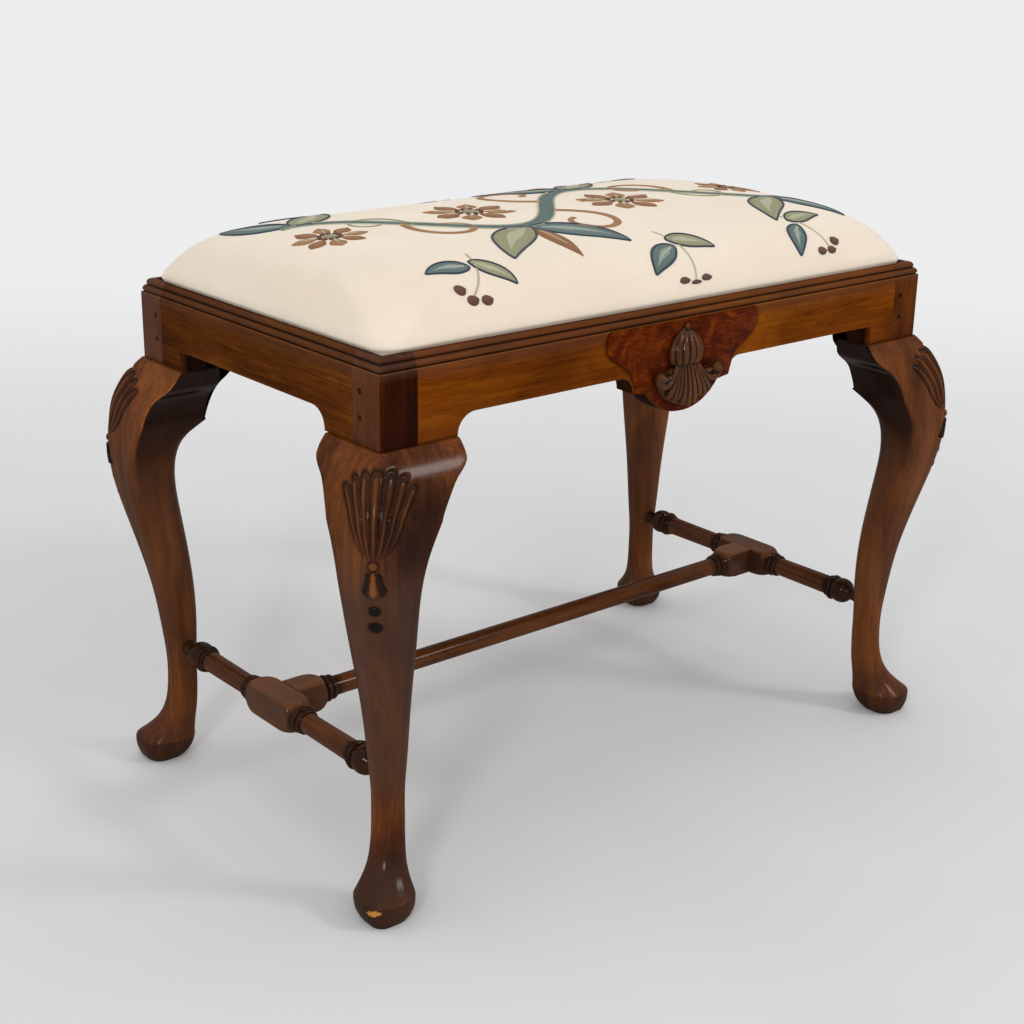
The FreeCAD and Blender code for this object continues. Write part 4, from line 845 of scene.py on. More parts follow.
def make_shell(side):
    """The carved ornament of an apron: a ribbed bud over a fluted skirt that curls out at both sides."""
    tubes = Tubes()
    tall = np.linspace(432.5, 404.5, 17)
    girth = np.interp(tall, [404, 406, 410, 415, 421, 426, 430, 432.5],
                      [12.5, 15.0, 16.3, 16.2, 13.8, 9.6, 4.8, 2])
    for turn in np.linspace(-78, 78, 7):
        t = math.radians(turn)
        path = np.column_stack([girth * math.sin(t) * 0.93, -1.5 - girth * 0.5 * math.cos(t), tall])
        tubes.add(lobe(path, np.maximum(girth * 0.225, 0.8), np.maximum(girth * 0.2, 0.8)))
    tubes.add(lobe(upright(0, -1.5, tall), girth * 0.88, girth * 0.46))
    swell = 2.4 * np.sin(np.linspace(0.2, 2.9, 7))
    tubes.add(lobe(upright(0, -3.6, np.linspace(436.5, 430.5, 7)), swell, swell))
    for neck, foot, level, wide in FLUTES:
        for way in ((-1, 1) if foot else (1,)):
            path = bezier([(way * neck * 0.8, -4.0, 407), (way * neck * 0.9, -6.0, 396),
                           (way * (neck + foot) * 0.52, -9.0, 385), (way * foot, -8.0, level)], 19)
            grow = np.interp(np.linspace(0, 1, 19), [0, 0.3, 0.75, 0.93, 1], [0.6, 0.7, 1, 0.9, 0.4])
            tubes.add(lobe(path, wide * grow, 3.2 * grow))
    for way in (-1, 1):
        path = bezier([(way * 10.5, -4.0, 406), (way * 14, -6.5, 393), (way * 23, -8.5, 383.5),
                       (way * 34, -8.0, 384.5), (way * 36, -7.5, 394), (way * 31, -7, 399)], 27)
        grow = np.interp(np.linspace(0, 1, 27), [0, 0.3, 0.7, 0.9, 1], [0.5, 0.7, 1, 1.15, 0.7])
        tubes.add(lobe(path, 3.8 * grow, 3.8 * grow))
        swell = 4.6 * np.sin(np.linspace(0.15, 2.99, 9))
        tubes.add(lobe(upright(way * 31.5, -8.0, np.linspace(390.5, 399.7, 9)), swell, swell))
        path = bezier([(way * 7, -4.0, 405), (way * 11, -5, 396), (way * 19, -5.5, 391),
                       (way * 27, -6, 394)], 15)
        tubes.add(lobe(path, np.full(15, 2.6), np.full(15, 2.6)))
    rim = np.array(SHELL_BACKING + [(-x, z) for x, z in SHELL_BACKING[-2:0:-1]], float)
    tubes.add([np.column_stack([rim[:, 0] * share, np.full(len(rim), depth),
                                SHELL_MIDDLE + (rim[:, 1] - SHELL_MIDDLE) * share])
               for depth, share in ((-0.5, 0.97), (-3.8, 0.95), (-5.5, 0.85))])
    points = RAIL_PLACES[side](np.array(tubes.points) + np.array(SHELL_SHIFT))
    shell = recalculated(mesh_object("visual_%s_shell" % side, points, tubes.faces))
    remesh = shell.modifiers.new("carve", "REMESH")
    remesh.mode, remesh.voxel_size = "VOXEL", SHELL_VOXEL
    smooth = shell.modifiers.new("ease", "SMOOTH")
    smooth.factor, smooth.iterations = 0.5, 2
    apply_modifiers(shell)
    finish_mesh(shell, 60)
    paint_hollows(shell)
    place(shell, CARVED, "burl_veneer", "frame", "%s_apron_shell" % side)


for side in ("front", "back"):
    make_plaque(side)
    make_shell(side)

PEG_LEVELS, PEG_IN = (422.5, 402.5), 25
# Depth and radius of a peg, from its inner end to the middle of its head.
PEG_PROFILE = ((6, 2.4), (0, 2.4), (-0.08, 2.2), (-0.15, 1.6), (-0.17, 0.5))


def make_pegs():
    """Dark joint pegs, two on each outer face of a post, a little proud."""
    tubes = Tubes()
    for corner in CORNERS.values():
        for z in PEG_LEVELS:
            for axis in (0, 1):
                loops = []
                for depth, radius in PEG_PROFILE:
                    loop = []
                    for t in np.linspace(0, 2 * math.pi, 15)[:-1]:
                        u, v = PEG_IN + radius * math.cos(t), z + radius * math.sin(t)
                        loop.append((u, depth, v) if axis else (depth, u, v))
                    loops.append(corner_points(loop, corner))
                tubes.add(loops)
    pegs = recalculated(mesh_object("visual_joint_pegs", tubes.points, tubes.faces))
    place(pegs, PEG_WOOD, "peg_wood", "frame", "joint_pegs")


make_pegs()


# Stretchers: turned along their length, with square blocks whose ends are turned to domes.

BAR_SIDES, BLOCK_HALF, LEG_FACE, BAR_END = 96, 13.0, 146.7, 159.0
BLOCK_DOME, BLOCK_EASE = 13, 0.35
ONION = spline([0, 4, 7, 9.5, 12, 15, 18.5, 22, 25], [6.6, 6.0, 6.3, 7.9, 10.1, 11.6, 12.2, 11.9, 11.0])


def turned_ring(middle, width, root, top):
    """Rows of a turned ring painted darker, with painted shade in a groove at both sides."""
    rows = [(middle - width / 2 - 0.5, root - 0.4, None, 1.0)]
    for angle in np.linspace(0, math.pi, 9):
        rows.append((middle - width / 2 * math.cos(angle), root + (top - root) * math.sin(angle), None, 0.7))
    return rows + [(middle + width / 2 + 0.5, root - 0.4, None, 1.0)]


def block_rows(start, end, domed_start, domed_end, dirt_and_shade):
    """Rows of a square block along a bar, turned to a dome at either end."""
    rows = []
    steps = np.geomspace(0.15, BLOCK_DOME, 16), np.geomspace(BLOCK_DOME, 0.15, 16)
    for along in np.concatenate([[start], start + steps[0], end - steps[1], [end]]):
        deep = min([BLOCK_DOME] + [along - start] * domed_start + [end - along] * domed_end)
        corner = 10.3 + 7.6 * math.sqrt(max(0.0, 1 - (1 - deep / BLOCK_DOME) ** 2))
        rows.append((along, corner, BLOCK_HALF, dirt_and_shade))
    return rows


def make_bar(side, axis, rows, centre, material):
    """A stretcher from half its rows of (along, radius, half square or none, dirt and painted shade) round a
    centre line.
    """
    rows = [(-along, radius, square, dirt_and_shade) for along, radius, square, dirt_and_shade in rows[::-1]] + rows
    turn = np.linspace(0, 2 * math.pi, BAR_SIDES, endpoint=False)
    flat = 1 / np.maximum(np.abs(np.cos(turn)), np.abs(np.sin(turn)))
    points, paint, painted_sheen = [], [], []
    for along, radius, square, dirt_and_shade in rows:
        reach = np.full(BAR_SIDES, radius)
        if square:
            reach = -BLOCK_EASE * np.logaddexp(-radius / BLOCK_EASE, -square * flat / BLOCK_EASE)
        across, along = reach * np.cos(turn), np.full(BAR_SIDES, along)
        plan = [across, along] if axis == 1 else [along, across]
        points.append(np.column_stack(plan + [reach * np.sin(turn)]) + np.array(centre))
        # Painted light: the blocks' tops are paler and less dark than their sides.
        paint += [(dirt_and_shade * 0.7, 0.35, 0, 1) if square and math.sin(angle) > 0.68 else (dirt_and_shade, 0, 0, 1)
                  for angle in turn]
        # Painted sheen: strong on the blocks, slight on the turned parts.
        painted_sheen += [0.6 if square else 0.15] * BAR_SIDES
    faces = tube_faces(len(rows), BAR_SIDES)
    bar = mesh_object("visual_%s_stretcher" % side, np.concatenate(points), faces, 30, paint, painted_sheen=painted_sheen)
    place(recalculated(bar), material, "leg_wood", "frame", "%s_stretcher" % side)


def make_stretchers():
    """Two end stretchers and the long one between them."""
    # Painted shade: the right stretcher's blocks are painted dark on the side turned from the light; the
    # centre stretcher's blocks are a little darker.
    for side, centre, dirt_and_shade in (("left", (-290.7, -3.0, 113.5), 0.0), ("right", (290.7, 0.0, 114.0), 0.45)):
        half = block_rows(0.5, 33, False, True, dirt_and_shade)
        half += turned_ring(37.3, 5, 9.2, 12) + turned_ring(43.2, 4, 9.2, 11)
        half += [(47 + step * 10, 8.9 + 0.06 * step, None, 0.0) for step in range(7)]
        half += turned_ring(LEG_FACE - 34, 2.4, 9.5, 10.8) + turned_ring(LEG_FACE - 29.2, 4.6, 9.5, 12.5)
        half += [(LEG_FACE - out, float(ONION(out)), None, 0.65) for out in np.linspace(25, 0, 26)]
        make_bar(side, 1, half + [(BAR_END, 6.6, None, 0.6)], centre, ROD_Y_WOOD)
    half = [(1 + step * 16, 8.6, None, 0.0) for step in range(15)]
    half += turned_ring(237, 4, 9.2, 11) + turned_ring(242.8, 5, 9.2, 12)
    make_bar("centre", 0, half + block_rows(247.2, 277.9, True, False, 0.2), (0, -1.5, 113.7), ROD_X_WOOD)


make_stretchers()
for stem in CORNERS:
    give(NODES["corner_block_" + stem], PLAIN_X_WOOD)
for side in RAIL_PLACES:
    give(NODES["seat_frame_" + side], PLAIN_X_WOOD if side in ("front", "back") else PLAIN_Y_WOOD)


# Metal

def steel(name, colour, roughness):
    """Dull steel with specks of rust."""
    material, tree = new_material(name, colour, roughness, Metallic=0.9)
    speck = tree.noise(tree.stretched(900), 4, 0.6)
    tree.base(tree.ramp(speck, (0.45, colour), (0.7, (0.16, 0.07, 0.03))))
    tree.bump(speck, 0.3, 0.0002)
    return material


give(NODES["corner_block_screws"], steel("screw_steel", (0.30, 0.29, 0.28), 0.45))
give(NODES["cover_tacks"], steel("tack_steel", (0.10, 0.11, 0.13), 0.4))


# Cloth

def woven(name, colour, other, pitch, depth, slub=0.5):
    """Woven cloth in object coordinates that run over the sides of a pad."""
    material, tree = new_material(name, colour, 0.9, Sheen_Weight=0.25, Sheen_Roughness=0.5,
                                  Specular_IOR_Level=0.25)
    x, y, z = tree.parts(tree.node("TexCoord").outputs["Object"])
    u, v = [tree.op("SUBTRACT", value, tree.op("MULTIPLY", tree.op("SIGN", value), z)) for value in (x, y)]
    waves = [tree.op("SINE", tree.op("MULTIPLY", value, 2 * math.pi / pitch)) for value in (u, v)]
    weave = tree.op("MULTIPLY_ADD", tree.op("MULTIPLY", *waves), 0.5)
    plane = tree.node("CombineXYZ")
    tree.feed(plane.inputs, (u, v))
    streaks = [tree.noise(tree.scaled(plane.outputs[0], sizes), 3, 0.6)
               for sizes in ((90, 1400, 1), (1400, 90, 1))]
    slubs = tree.op("ADD", *streaks)
    cloud = tree.noise(tree.stretched(9), 4, 0.55)
    tone = tree.op("ADD", tree.op("MULTIPLY", slubs, slub * 0.5), tree.op("MULTIPLY", cloud, 1 - slub))
    tree.base(tree.ramp(tone, (0.36, other), (0.62, colour)))
    tree.bump(tree.op("ADD", weave, tree.op("MULTIPLY", slubs, 0.8)), 0.6, depth)
    return material


def banded(name, colour, stripe):
    """Jute webbing: herringbone weave and a dark stripe by each edge, from the map along and across it."""
    material, tree = new_material(name, colour, 0.92, Sheen_Weight=0.2)
    along, across = tree.parts(tree.node("UVMap", uv_map="stitch").outputs[0])[:2]
    bent = tree.op("PINGPONG", tree.op("MULTIPLY", across, 25.0), 4.0)
    twill = tree.op("SINE", tree.op("MULTIPLY", tree.op("ADD", along, bent), 3.1))
    edge = tree.ramp(tree.op("ABSOLUTE", across),
                     (0.58, colour), (0.60, stripe), (0.70, stripe), (0.72, colour))
    shade = tree.ramp(tree.op("MULTIPLY_ADD", twill, 0.5), (0.0, (0.62, 0.6, 0.58)), (0.6, WHITE))
    tree.base(tree.mix(0.9, edge, shade, "MULTIPLY"))
    tree.bump(twill, 0.7, 0.0004)
    return material


def thread(name, colour, other):
    """Embroidery wool: slanting stitches from the map along and across each shape."""
    material, tree = new_material(name, colour, 0.72, Sheen_Weight=0.08, Sheen_Roughness=0.4)
    along, across = tree.parts(tree.node("UVMap", uv_map="stitch").outputs[0])[:2]
    slant = tree.op("MULTIPLY", tree.op("ABSOLUTE", across), 2.2)
    rib = tree.op("SINE", tree.op("MULTIPLY", tree.op("ADD", along, slant), 2 * math.pi / 1.5))
    speck = tree.noise(tree.stretched(700), 3, 0.65)
    tone = tree.op("ADD", tree.op("MULTIPLY", rib, 0.2), speck)
    tree.base(tree.ramp(tone, (0.3, other), (0.62, colour)))
    tree.bump(tree.op("ADD", rib, speck), 0.7, 0.0003)
    return material


COVER_CLOTH = woven("cover_linen", (0.83, 0.725, 0.595), (0.77, 0.655, 0.52), 0.0011, 0.00016)
HESSIAN = woven("hessian_jute", (0.47, 0.33, 0.18), (0.30, 0.19, 0.09), 0.0022, 0.0005, 0.8)
WEBBING = banded("webbing_jute", (0.46, 0.33, 0.20), (0.10, 0.035, 0.02))
THREADS = {name: thread("thread_" + name, colour, other) for name, colour, other in (
    ("teal", (0.110, 0.190, 0.170), (0.055, 0.105, 0.098)),
    ("slate", (0.140, 0.215, 0.200), (0.070, 0.120, 0.120)),
    ("mist", (0.330, 0.400, 0.350), (0.220, 0.290, 0.260)),
    ("sage", (0.400, 0.395, 0.215), (0.250, 0.250, 0.120)),
    ("pale", (0.600, 0.570, 0.400), (0.450, 0.420, 0.260)),
    ("caramel", (0.470, 0.225, 0.075), (0.300, 0.125, 0.035)),
    ("bronze", (0.360, 0.145, 0.042), (0.200, 0.070, 0.018)),
    ("chestnut", (0.160, 0.055, 0.027), (0.085, 0.028, 0.015)),
    ("navy", (0.022, 0.045, 0.085), (0.010, 0.022, 0.045)))}


# Slip seat: crowned cover over its stuffing, embroidery, hessian and interlaced webbing.

SIDE_TOP = 450.4
FOOT_SHARE = (SIDE_TOP - CROWN_ROOT) / CROWN_RISE
CROWN_BEND, END_POWER, SIDE_POWER = 0.254, 9.5, 3.3
SWELL_CAP = 3.5
SIDE_BULGE, BULGE_LEVEL, BULGE_SPREAD, BULGE_START = 3.2, 455, 12, (450.45, 452.8)
# The simulation's held levels below the crown, its moments, and the step between its points on a ring.
HELD_LEVELS, MOMENTS, STEP = (440.0, 445.0), 20, 4
# Insets and levels of the cover from its inside round its edge under the seat frame to its straight side.
COVER_EDGE = ((9, 453.6), (7, 450.45), (1.5, 450.45), (1.6, 434.2), (26, 434.1), (26, 432.95),
              (25.7, SEAT_LOW), (10, SEAT_LOW), (2.2, SEAT_LOW), (0.8, 433.1), (0.15, 433.9), (0, 435.5),
              (0, 442), (0, 447))


def ring_sizes(share):
    """Half sizes and corner of the crown's outline at a share of its rise."""
    room = np.maximum(1 - share ** (1 / CROWN_BEND), 0)
    half_x, half_y = SEAT_X * room ** (1 / END_POWER), SEAT_Y * room ** (1 / SIDE_POWER)
    return half_x, half_y, np.minimum(SEAT_CORNER + 80 * (share - FOOT_SHARE), half_y * 0.85)


def seat_height(x, y):
    """Height of the crown at places in plan."""
    x, y = np.abs(np.asarray(x, float)), np.abs(np.asarray(y, float))
    low, high = np.full(x.shape, FOOT_SHARE), np.full(x.shape, 1.0)
    for turn in range(40):
        share = (low + high) / 2
        half_x, half_y, corner = ring_sizes(share)
        qx, qy = x - half_x + corner, y - half_y + corner
        away = np.hypot(np.maximum(qx, 0), np.maximum(qy, 0)) + np.minimum(np.maximum(qx, qy), 0) - corner
        low, high = np.where(away <= 0, share, low), np.where(away <= 0, high, share)
    return CROWN_ROOT + CROWN_RISE * low


def rounded(half_x, half_y, corner):
    """A rounded rectangle in plan, always with the same number of points."""
    turns = []
    for way_x, way_y, start, count in ((1, -1, -90, 72), (1, 1, 0, 40), (-1, 1, 90, 72), (-1, -1, 180, 40)):
        arc = np.radians(start + np.linspace(0, 90, 15))
        centre = np.array([way_x * (half_x - corner), way_y * (half_y - corner)])
        turns.append((centre + corner * np.column_stack([np.cos(arc), np.sin(arc)]), count))
    points = []
    for index, (turn, count) in enumerate(turns):
        before = turns[index - 1][0][-1]
        run = before + (turn[0] - before) * np.linspace(0, 1, count + 1)[1:-1, None]
        points += run.tolist() + turn.tolist()
    return np.array(points)


def crown_rings():
    """Rings of the cover above its straight side, from its foot to its middle."""
    rings = []
    parts = np.concatenate([np.linspace(0, 0.8, 29), 1 - 0.2 * np.linspace(1, 0.12, 15)[1:] ** 1.5])
    for part in parts:
        share = FOOT_SHARE + (1 - FOOT_SHARE) * part
        plan = rounded(*[float(value) for value in ring_sizes(np.float64(share))])
        rings.append(np.column_stack([plan, np.full(len(plan), CROWN_ROOT + CROWN_RISE * share)]))
    plan = rings[-1][:, :2]
    reach = plan[:, 0].max() - plan[:, 1].max()
    middle = np.column_stack([np.clip(plan[:, 0], -reach, reach), np.zeros(len(plan))])
    for keep in (0.93, 0.86, 0.78, 0.7, 0.62, 0.54, 0.46, 0.38, 0.3, 0.22, 0.14, 0.06):
        spot = middle + (plan - middle) * keep
        rings.append(np.column_stack([spot, seat_height(spot[:, 0], spot[:, 1])]))
    return rings


def swollen(rings):
    """Moves of the crown's points when its cloth is blown tight, from a simulation on every fourth point."""
    rest = np.array(rings)[:, ::STEP]
    count = rest.shape[1]
    below = np.array([np.column_stack([rest[0][:, :2], np.full(count, z)]) for z in HELD_LEVELS])
    shape = np.concatenate([below, rest])
    points = shape.reshape(-1, 3).tolist()
    faces = grid_faces(len(shape), count)
    for row, level in ((0, HELD_LEVELS[0]), (len(shape) - 1, rest[-1][:, 2].mean())):
        hub = len(points)
        points.append((0, 0, level))
        for j in range(count):
            here, there = row * count + j, row * count + (j + 1) % count
            faces.append((there, here, hub) if row == 0 else (here, there, hub))
    pad = mesh_object("seat_trial", points, faces)
    held = pad.vertex_groups.new(name="held")
    held.add(list(range(3 * count)) + [len(points) - 2], 1.0, "REPLACE")
    cloth = pad.modifiers.new("tight", "CLOTH")
    for key, value in dict(quality=4, vertex_group_mass="held", use_pressure=True, uniform_pressure_force=4.0,
                           tension_stiffness=25, compression_stiffness=25, shear_stiffness=15,
                           bending_stiffness=2.0).items():
        setattr(cloth.settings, key, value)
    cloth.settings.effector_weights.gravity = 0
    scene = bpy.context.scene
    cloth.point_cache.frame_start, cloth.point_cache.frame_end = 1, MOMENTS
    for moment in range(1, MOMENTS + 1):
        scene.frame_set(moment)
    after = pad.evaluated_get(bpy.context.evaluated_depsgraph_get()).data
    flat = np.zeros(len(after.vertices) * 3)
    after.vertices.foreach_get("co", flat)
    scene.frame_set(1)
    bpy.data.objects.remove(pad)
    moved = flat.reshape(-1, 3)[:len(shape) * count].reshape(shape.shape) / MM
    coarse = (moved - shape)[len(below):]
    moves = np.zeros(np.array(rings).shape)
    for step in range(STEP):
        share = step / STEP
        moves[:, step::STEP] = coarse * (1 - share) + np.roll(coarse, -1, 1) * share
    return moves


def make_cushion():
    """Cover with its stuffing: crown, straight side, edge turned under the seat frame and a flat inside."""
    rings = crown_rings()
    for ring in rings:
        z = ring[:, 2]
        bulge = SIDE_BULGE * np.exp(-((z - BULGE_LEVEL) / BULGE_SPREAD) ** 2) * smooth_step(*BULGE_START, z)
        ring[:, :2] += right_of(ring) * bulge[:, None]
    moves = swollen(rings)
    moves *= SWELL_CAP / np.linalg.norm(moves, axis=2).max()
    rings = list(np.array(rings) + moves)
    lower = []
    for inset, z in COVER_EDGE:
        plan = rounded(SEAT_X - inset, SEAT_Y - inset, max(SEAT_CORNER - inset, 1.0))
        lower.append(np.column_stack([plan, np.full(len(plan), z)]))
    loops = lower + rings
    faces = tube_faces(len(loops), len(loops[0]))
    cushion = mesh_object("visual_seat_cover", np.concatenate(loops), faces, 60)
    place(cushion, COVER_CLOTH, "cover_cloth", "slip_seat", "seat_cover", "seat_stuffing")
    return cushion


# Embroidery: satin stitch that stands up from the cover, laid out on the cloth by lengths along it.

INNER_BLADE = {"slate": "mist", "sage": "pale", "bronze": "caramel"}
# Section of a stitched shape: across in half widths, and up in rises.
STITCH = ((-1, -0.5), (-0.97, 0.2), (-0.75, 0.72), (-0.4, 0.95), (0, 1), (0.4, 0.95), (0.75, 0.72),
          (0.97, 0.2), (1, -0.5))
ABOVE_SEAT = 0.7


def heading_to(angle):
    """Unit vector of an angle in plan."""
    return np.array([math.cos(angle), math.sin(angle)])


class Embroidery:
    """Stitched shapes on the cushion, gathered by thread."""

    def __init__(self, cushion):
        mesh = cushion.data
        self.tree = BVHTree.FromPolygons([v.co for v in mesh.vertices], [f.vertices for f in mesh.polygons])
        self.stores = {name: (Tubes(), []) for name in THREADS}
        self.maps = []
        for half, along_x in ((SEAT_X, True), (SEAT_Y, False)):
            run = np.linspace(0, half, 400)
            height = seat_height(run, run * 0) if along_x else seat_height(run * 0, run)
            self.maps.append((run_along(np.column_stack([run, height])), run))

    def on_cloth(self, u, v):
        """Point and normal of the cover at lengths from its middle."""
        x = math.copysign(np.interp(abs(u), *self.maps[0]), u)
        y = math.copysign(np.interp(abs(v), *self.maps[1]), v)
        spot, normal = self.tree.ray_cast(Vector((x * MM, y * MM, ABOVE_SEAT)), Vector((0, 0, -1)))[:2]
        return np.array(spot) / MM, np.array(normal)

    def stitch(self, colour, path, half_width, rise):
        """A raised shape along a path, with its half width at each point."""
        tubes, uv = self.stores[colour]
        path = np.array(path, float)
        half_width = np.broadcast_to(np.asarray(half_width, float), (len(path),))
        loops = []
        for spot, way, wide, along in zip(path, beside(path), half_width, run_along(path)):
            loop = []
            for across, up in STITCH:
                point, normal = self.on_cloth(*(spot + way * across * max(wide, 0.15)))
                loop.append(point + normal * up * rise)
                uv.append((along, across * wide))
            loops.append(loop)
        tubes.add(loops, True)

    def leaf(self, fill, edge, base, tip, wide, bend, rib="pale", round_end=0.75):
        """An almond leaf, some with a paler inner blade, a corded edge and a rib."""
        base, tip = np.array(base, float), np.array(tip, float)
        across = np.array([-(tip - base)[1], (tip - base)[0]])
        path = bezier([base, (base + tip) / 2 + across * bend, tip], 27)
        share = np.linspace(0, 1, 27)
        half = wide * np.sin(np.pi * share ** round_end) ** 0.85 * 0.5
        self.stitch(fill, path, half, 0.8)
        if fill in INNER_BLADE:
            inner = half[3:22] * np.interp(share[3:22], [0.1, 0.35, 0.8], [0.25, 0.55, 0.1])
            self.stitch(INNER_BLADE[fill], path[3:22], inner, 1.0)
        if rib:
            self.stitch(rib, path[3:18], np.interp(share[3:18], [0.1, 0.4, 0.65], [1.3, 1.1, 0.3]), 1.25)
        if edge:
            for way in (-1, 1):
                self.stitch(edge, path + beside(path) * (half * way)[:, None], 0.95, 1.1)

    def knot(self, colour, centre, radius, rise=1.4):
        turn = np.linspace(-1, 1, 9)
        path = np.array(centre) + np.column_stack([turn * radius, turn * 0])
        self.stitch(colour, path, radius * np.sqrt(np.maximum(1 - turn ** 2, 0.01)), rise)

    def rosette(self, centre, radius, turned=0.0):
        """Eight petals round a heart of knots."""
        centre = np.array(centre, float)
        for index in range(8):
            way = heading_to(turned + index * math.pi / 4)
            fill, rib = ("caramel", "pale") if index % 2 else ("bronze", None)
            self.leaf(fill, None, centre + way * radius * 0.3, centre + way * radius, radius * 0.46, 0.0, rib,
                      1.15)
        for index in range(10):
            self.knot("chestnut", centre + heading_to(turned + index * math.pi / 5) * radius * 0.27, 2.2)
        self.knot("sage", centre, radius * 0.17, 1.6)

    def curl(self, colour, start, heading, length, bend, wide, steps=40):
        """A tendril that winds up more and more."""
        spot, path = np.array(start, float), []
        for step in range(steps):
            path.append(spot)
            heading += bend * (0.3 + 1.7 * step / steps) / steps
            spot = spot + heading_to(heading) * length / steps
        self.stitch(colour, path, np.linspace(wide, wide * 0.6, steps), 0.8)

    def sprig(self, root, heading, size):
        """Three berries and two small leaves on a bent stalk."""
        way = heading_to(heading)
        side = np.array([-way[1], way[0]])
        root = np.array(root, float)
        stalk = bezier([root, root + way * size * 0.5 + side * size * 0.2, root + way * size], 17)
        self.stitch("pale", stalk, 0.9, 0.8)
        self.leaf("sage", "navy", root + way * size * 0.25, root + way * size * 0.55 + side * size * 0.62,
                  size * 0.3, 0.18)
        self.leaf("slate", "navy", root + way * size * 0.4, root + way * size * 0.75 - side * size * 0.6,
                  size * 0.3, -0.18)
        for along, off in ((1.05, 0.0), (0.98, 0.2), (0.95, -0.18)):
            self.knot("chestnut", root + way * size * along + side * size * off, size * 0.085)

    def finish(self):
        """One piece for each thread."""
        for name, (tubes, uv) in self.stores.items():
            piece = mesh_object("visual_stitch_" + name, tubes.points, tubes.faces, 70, uv=uv)
            place(recalculated(piece, 70), THREADS[name], "cover_cloth", "slip_seat")


def make_embroidery(cushion):
    """A running vine with rosettes in its bends, leaves on its crests, scrolls, and sprigs at the borders."""
    work = Embroidery(cushion)
    run = np.linspace(-236, 236, 220)
    vine = np.column_stack([run, 58 * np.sin(run * math.pi / 150)])
    width = np.interp(np.abs(run), [0, 200, 236], [6.4, 5.8, 1.6])
    work.stitch("teal", vine, width, 0.8)
    for way in (-1, 1):
        work.stitch("pale", vine + beside(vine) * way * (width + 0.8)[:, None], 0.9, 0.8)
    for turn in (1, -1):
        back = 0 if turn > 0 else math.pi
        work.rosette((75 * turn, -14 * turn), 40, 0.2)
        work.rosette((226 * turn, -2 * turn), 32, 0.5)
        for reach, fill, bend in ((62, "sage", -0.2), (-62, "slate", 0.2)):
            work.leaf(fill, "navy", (75 * turn, 66 * turn), ((75 + reach) * turn, 122 * turn), 34, bend)
        work.leaf("bronze", None, (75 * turn, 72 * turn), (75 * turn, 134 * turn), 19, 0.0)
        for reach, fill, bend in ((34, "slate", 0.2), (-58, "sage", -0.2)):
            work.leaf(fill, "navy", (222 * turn, -64 * turn), ((222 + reach) * turn, -122 * turn), 32, bend)
        work.curl("caramel", (10 * turn, 20 * turn), 2.6 + back, 150, -5.0, 4.4)
        work.curl("caramel", (150 * turn, -8 * turn), 1.0 + back, 140, 5.0, 4.2)
        work.curl("sage", (150 * turn, 8 * turn), -1.9 + back, 120, 5.0, 2.0)
        for (x, y), size in (((-20, 112), 66), ((172, 104), 60), ((-168, 112), 60)):
            work.sprig((x * turn, y * turn), math.atan2(y, x * 0.35) + back, size)
    work.finish()


make_embroidery(make_cushion())

HESSIAN_LOW, HESSIAN_TOP = 452.72, 453.5
HESSIAN_ROWS, HESSIAN_COLUMNS = 25, 41


def make_hessian():
    """Hessian stretched over the webbing."""
    rows, columns = HESSIAN_ROWS, HESSIAN_COLUMNS
    xs, ys = np.linspace(-WEB_X, WEB_X, columns), np.linspace(-WEB_Y, WEB_Y, rows)
    points = [(x, y, z) for z in (HESSIAN_TOP, HESSIAN_LOW) for y in ys for x in xs]
    under = rows * columns
    faces = grid_faces(rows, columns, False) + grid_faces(rows, columns, False, True, under)
    index = np.arange(under).reshape(rows, columns)
    rim = np.concatenate([index[0], index[1:, -1], index[-1, -2::-1], index[-2:0:-1, 0]]).tolist()
    for here, there in zip(rim, rim[1:] + rim[:1]):
        faces.append((there, here, here + under, there + under))
    hessian = recalculated(mesh_object("visual_seat_hessian", points, faces))
    place(hessian, HESSIAN, "hessian", "slip_seat", "seat_hessian")


make_hessian()

WEB_ROWS = [-WEB_Y + WEB_Y * 2 / 3 * (i + 0.5) for i in range(3)]
WEB_COLUMNS = [-WEB_X + WEB_X * 2 / 6 * (i + 0.5) for i in range(6)]
WEB_END, WEB_LEVEL, WEB_BEND, WEB_STEPS = 451.0, 451.5, 0.6, 101
WEB_SECTION = ((-25, -0.3), (-24.4, 0.42), (-12, 0.5), (0, 0.5), (12, 0.5), (24.4, 0.42),
               (25, -0.3), (24.4, -0.48), (12, -0.5), (0, -0.5), (-12, -0.5), (-24.4, -0.48))


def make_webbing():
    """Strips that pass over and under each other."""
    for kind, middles, crossings, reach, way in (("long", WEB_ROWS, WEB_COLUMNS, WEB_X, 1),
                                                 ("cross", WEB_COLUMNS, WEB_ROWS, WEB_Y, -1)):
        knots = [-reach] + crossings + [reach]
        faces = tube_faces(WEB_STEPS, len(WEB_SECTION))
        for index, middle in enumerate(middles):
            bends = [WEB_LEVEL + WEB_BEND * way * (-1) ** (index + other) for other in range(len(crossings))]
            heights = [WEB_END] + bends + [WEB_END]
            points, uv = [], []
            for run in np.linspace(-reach, reach, WEB_STEPS):
                spot = int(np.clip(np.searchsorted(knots, run) - 1, 0, len(knots) - 2))
                share = smooth_step(knots[spot], knots[spot + 1], run)
                z = heights[spot] + (heights[spot + 1] - heights[spot]) * share
                for across, up in WEB_SECTION:
                    side = middle + across
                    points.append((run, side, z + up) if kind == "long" else (side, run, z + up))
                    uv.append((run, across / (WEB_WIDTH / 2)))
            strip = mesh_object("visual_webbing_%s_%d" % (kind, index + 1), points, faces, 50, uv=uv)
            place(recalculated(strip), WEBBING, "webbing", "slip_seat", "seat_webbing_" + kind)


make_webbing()


# Camera and stage

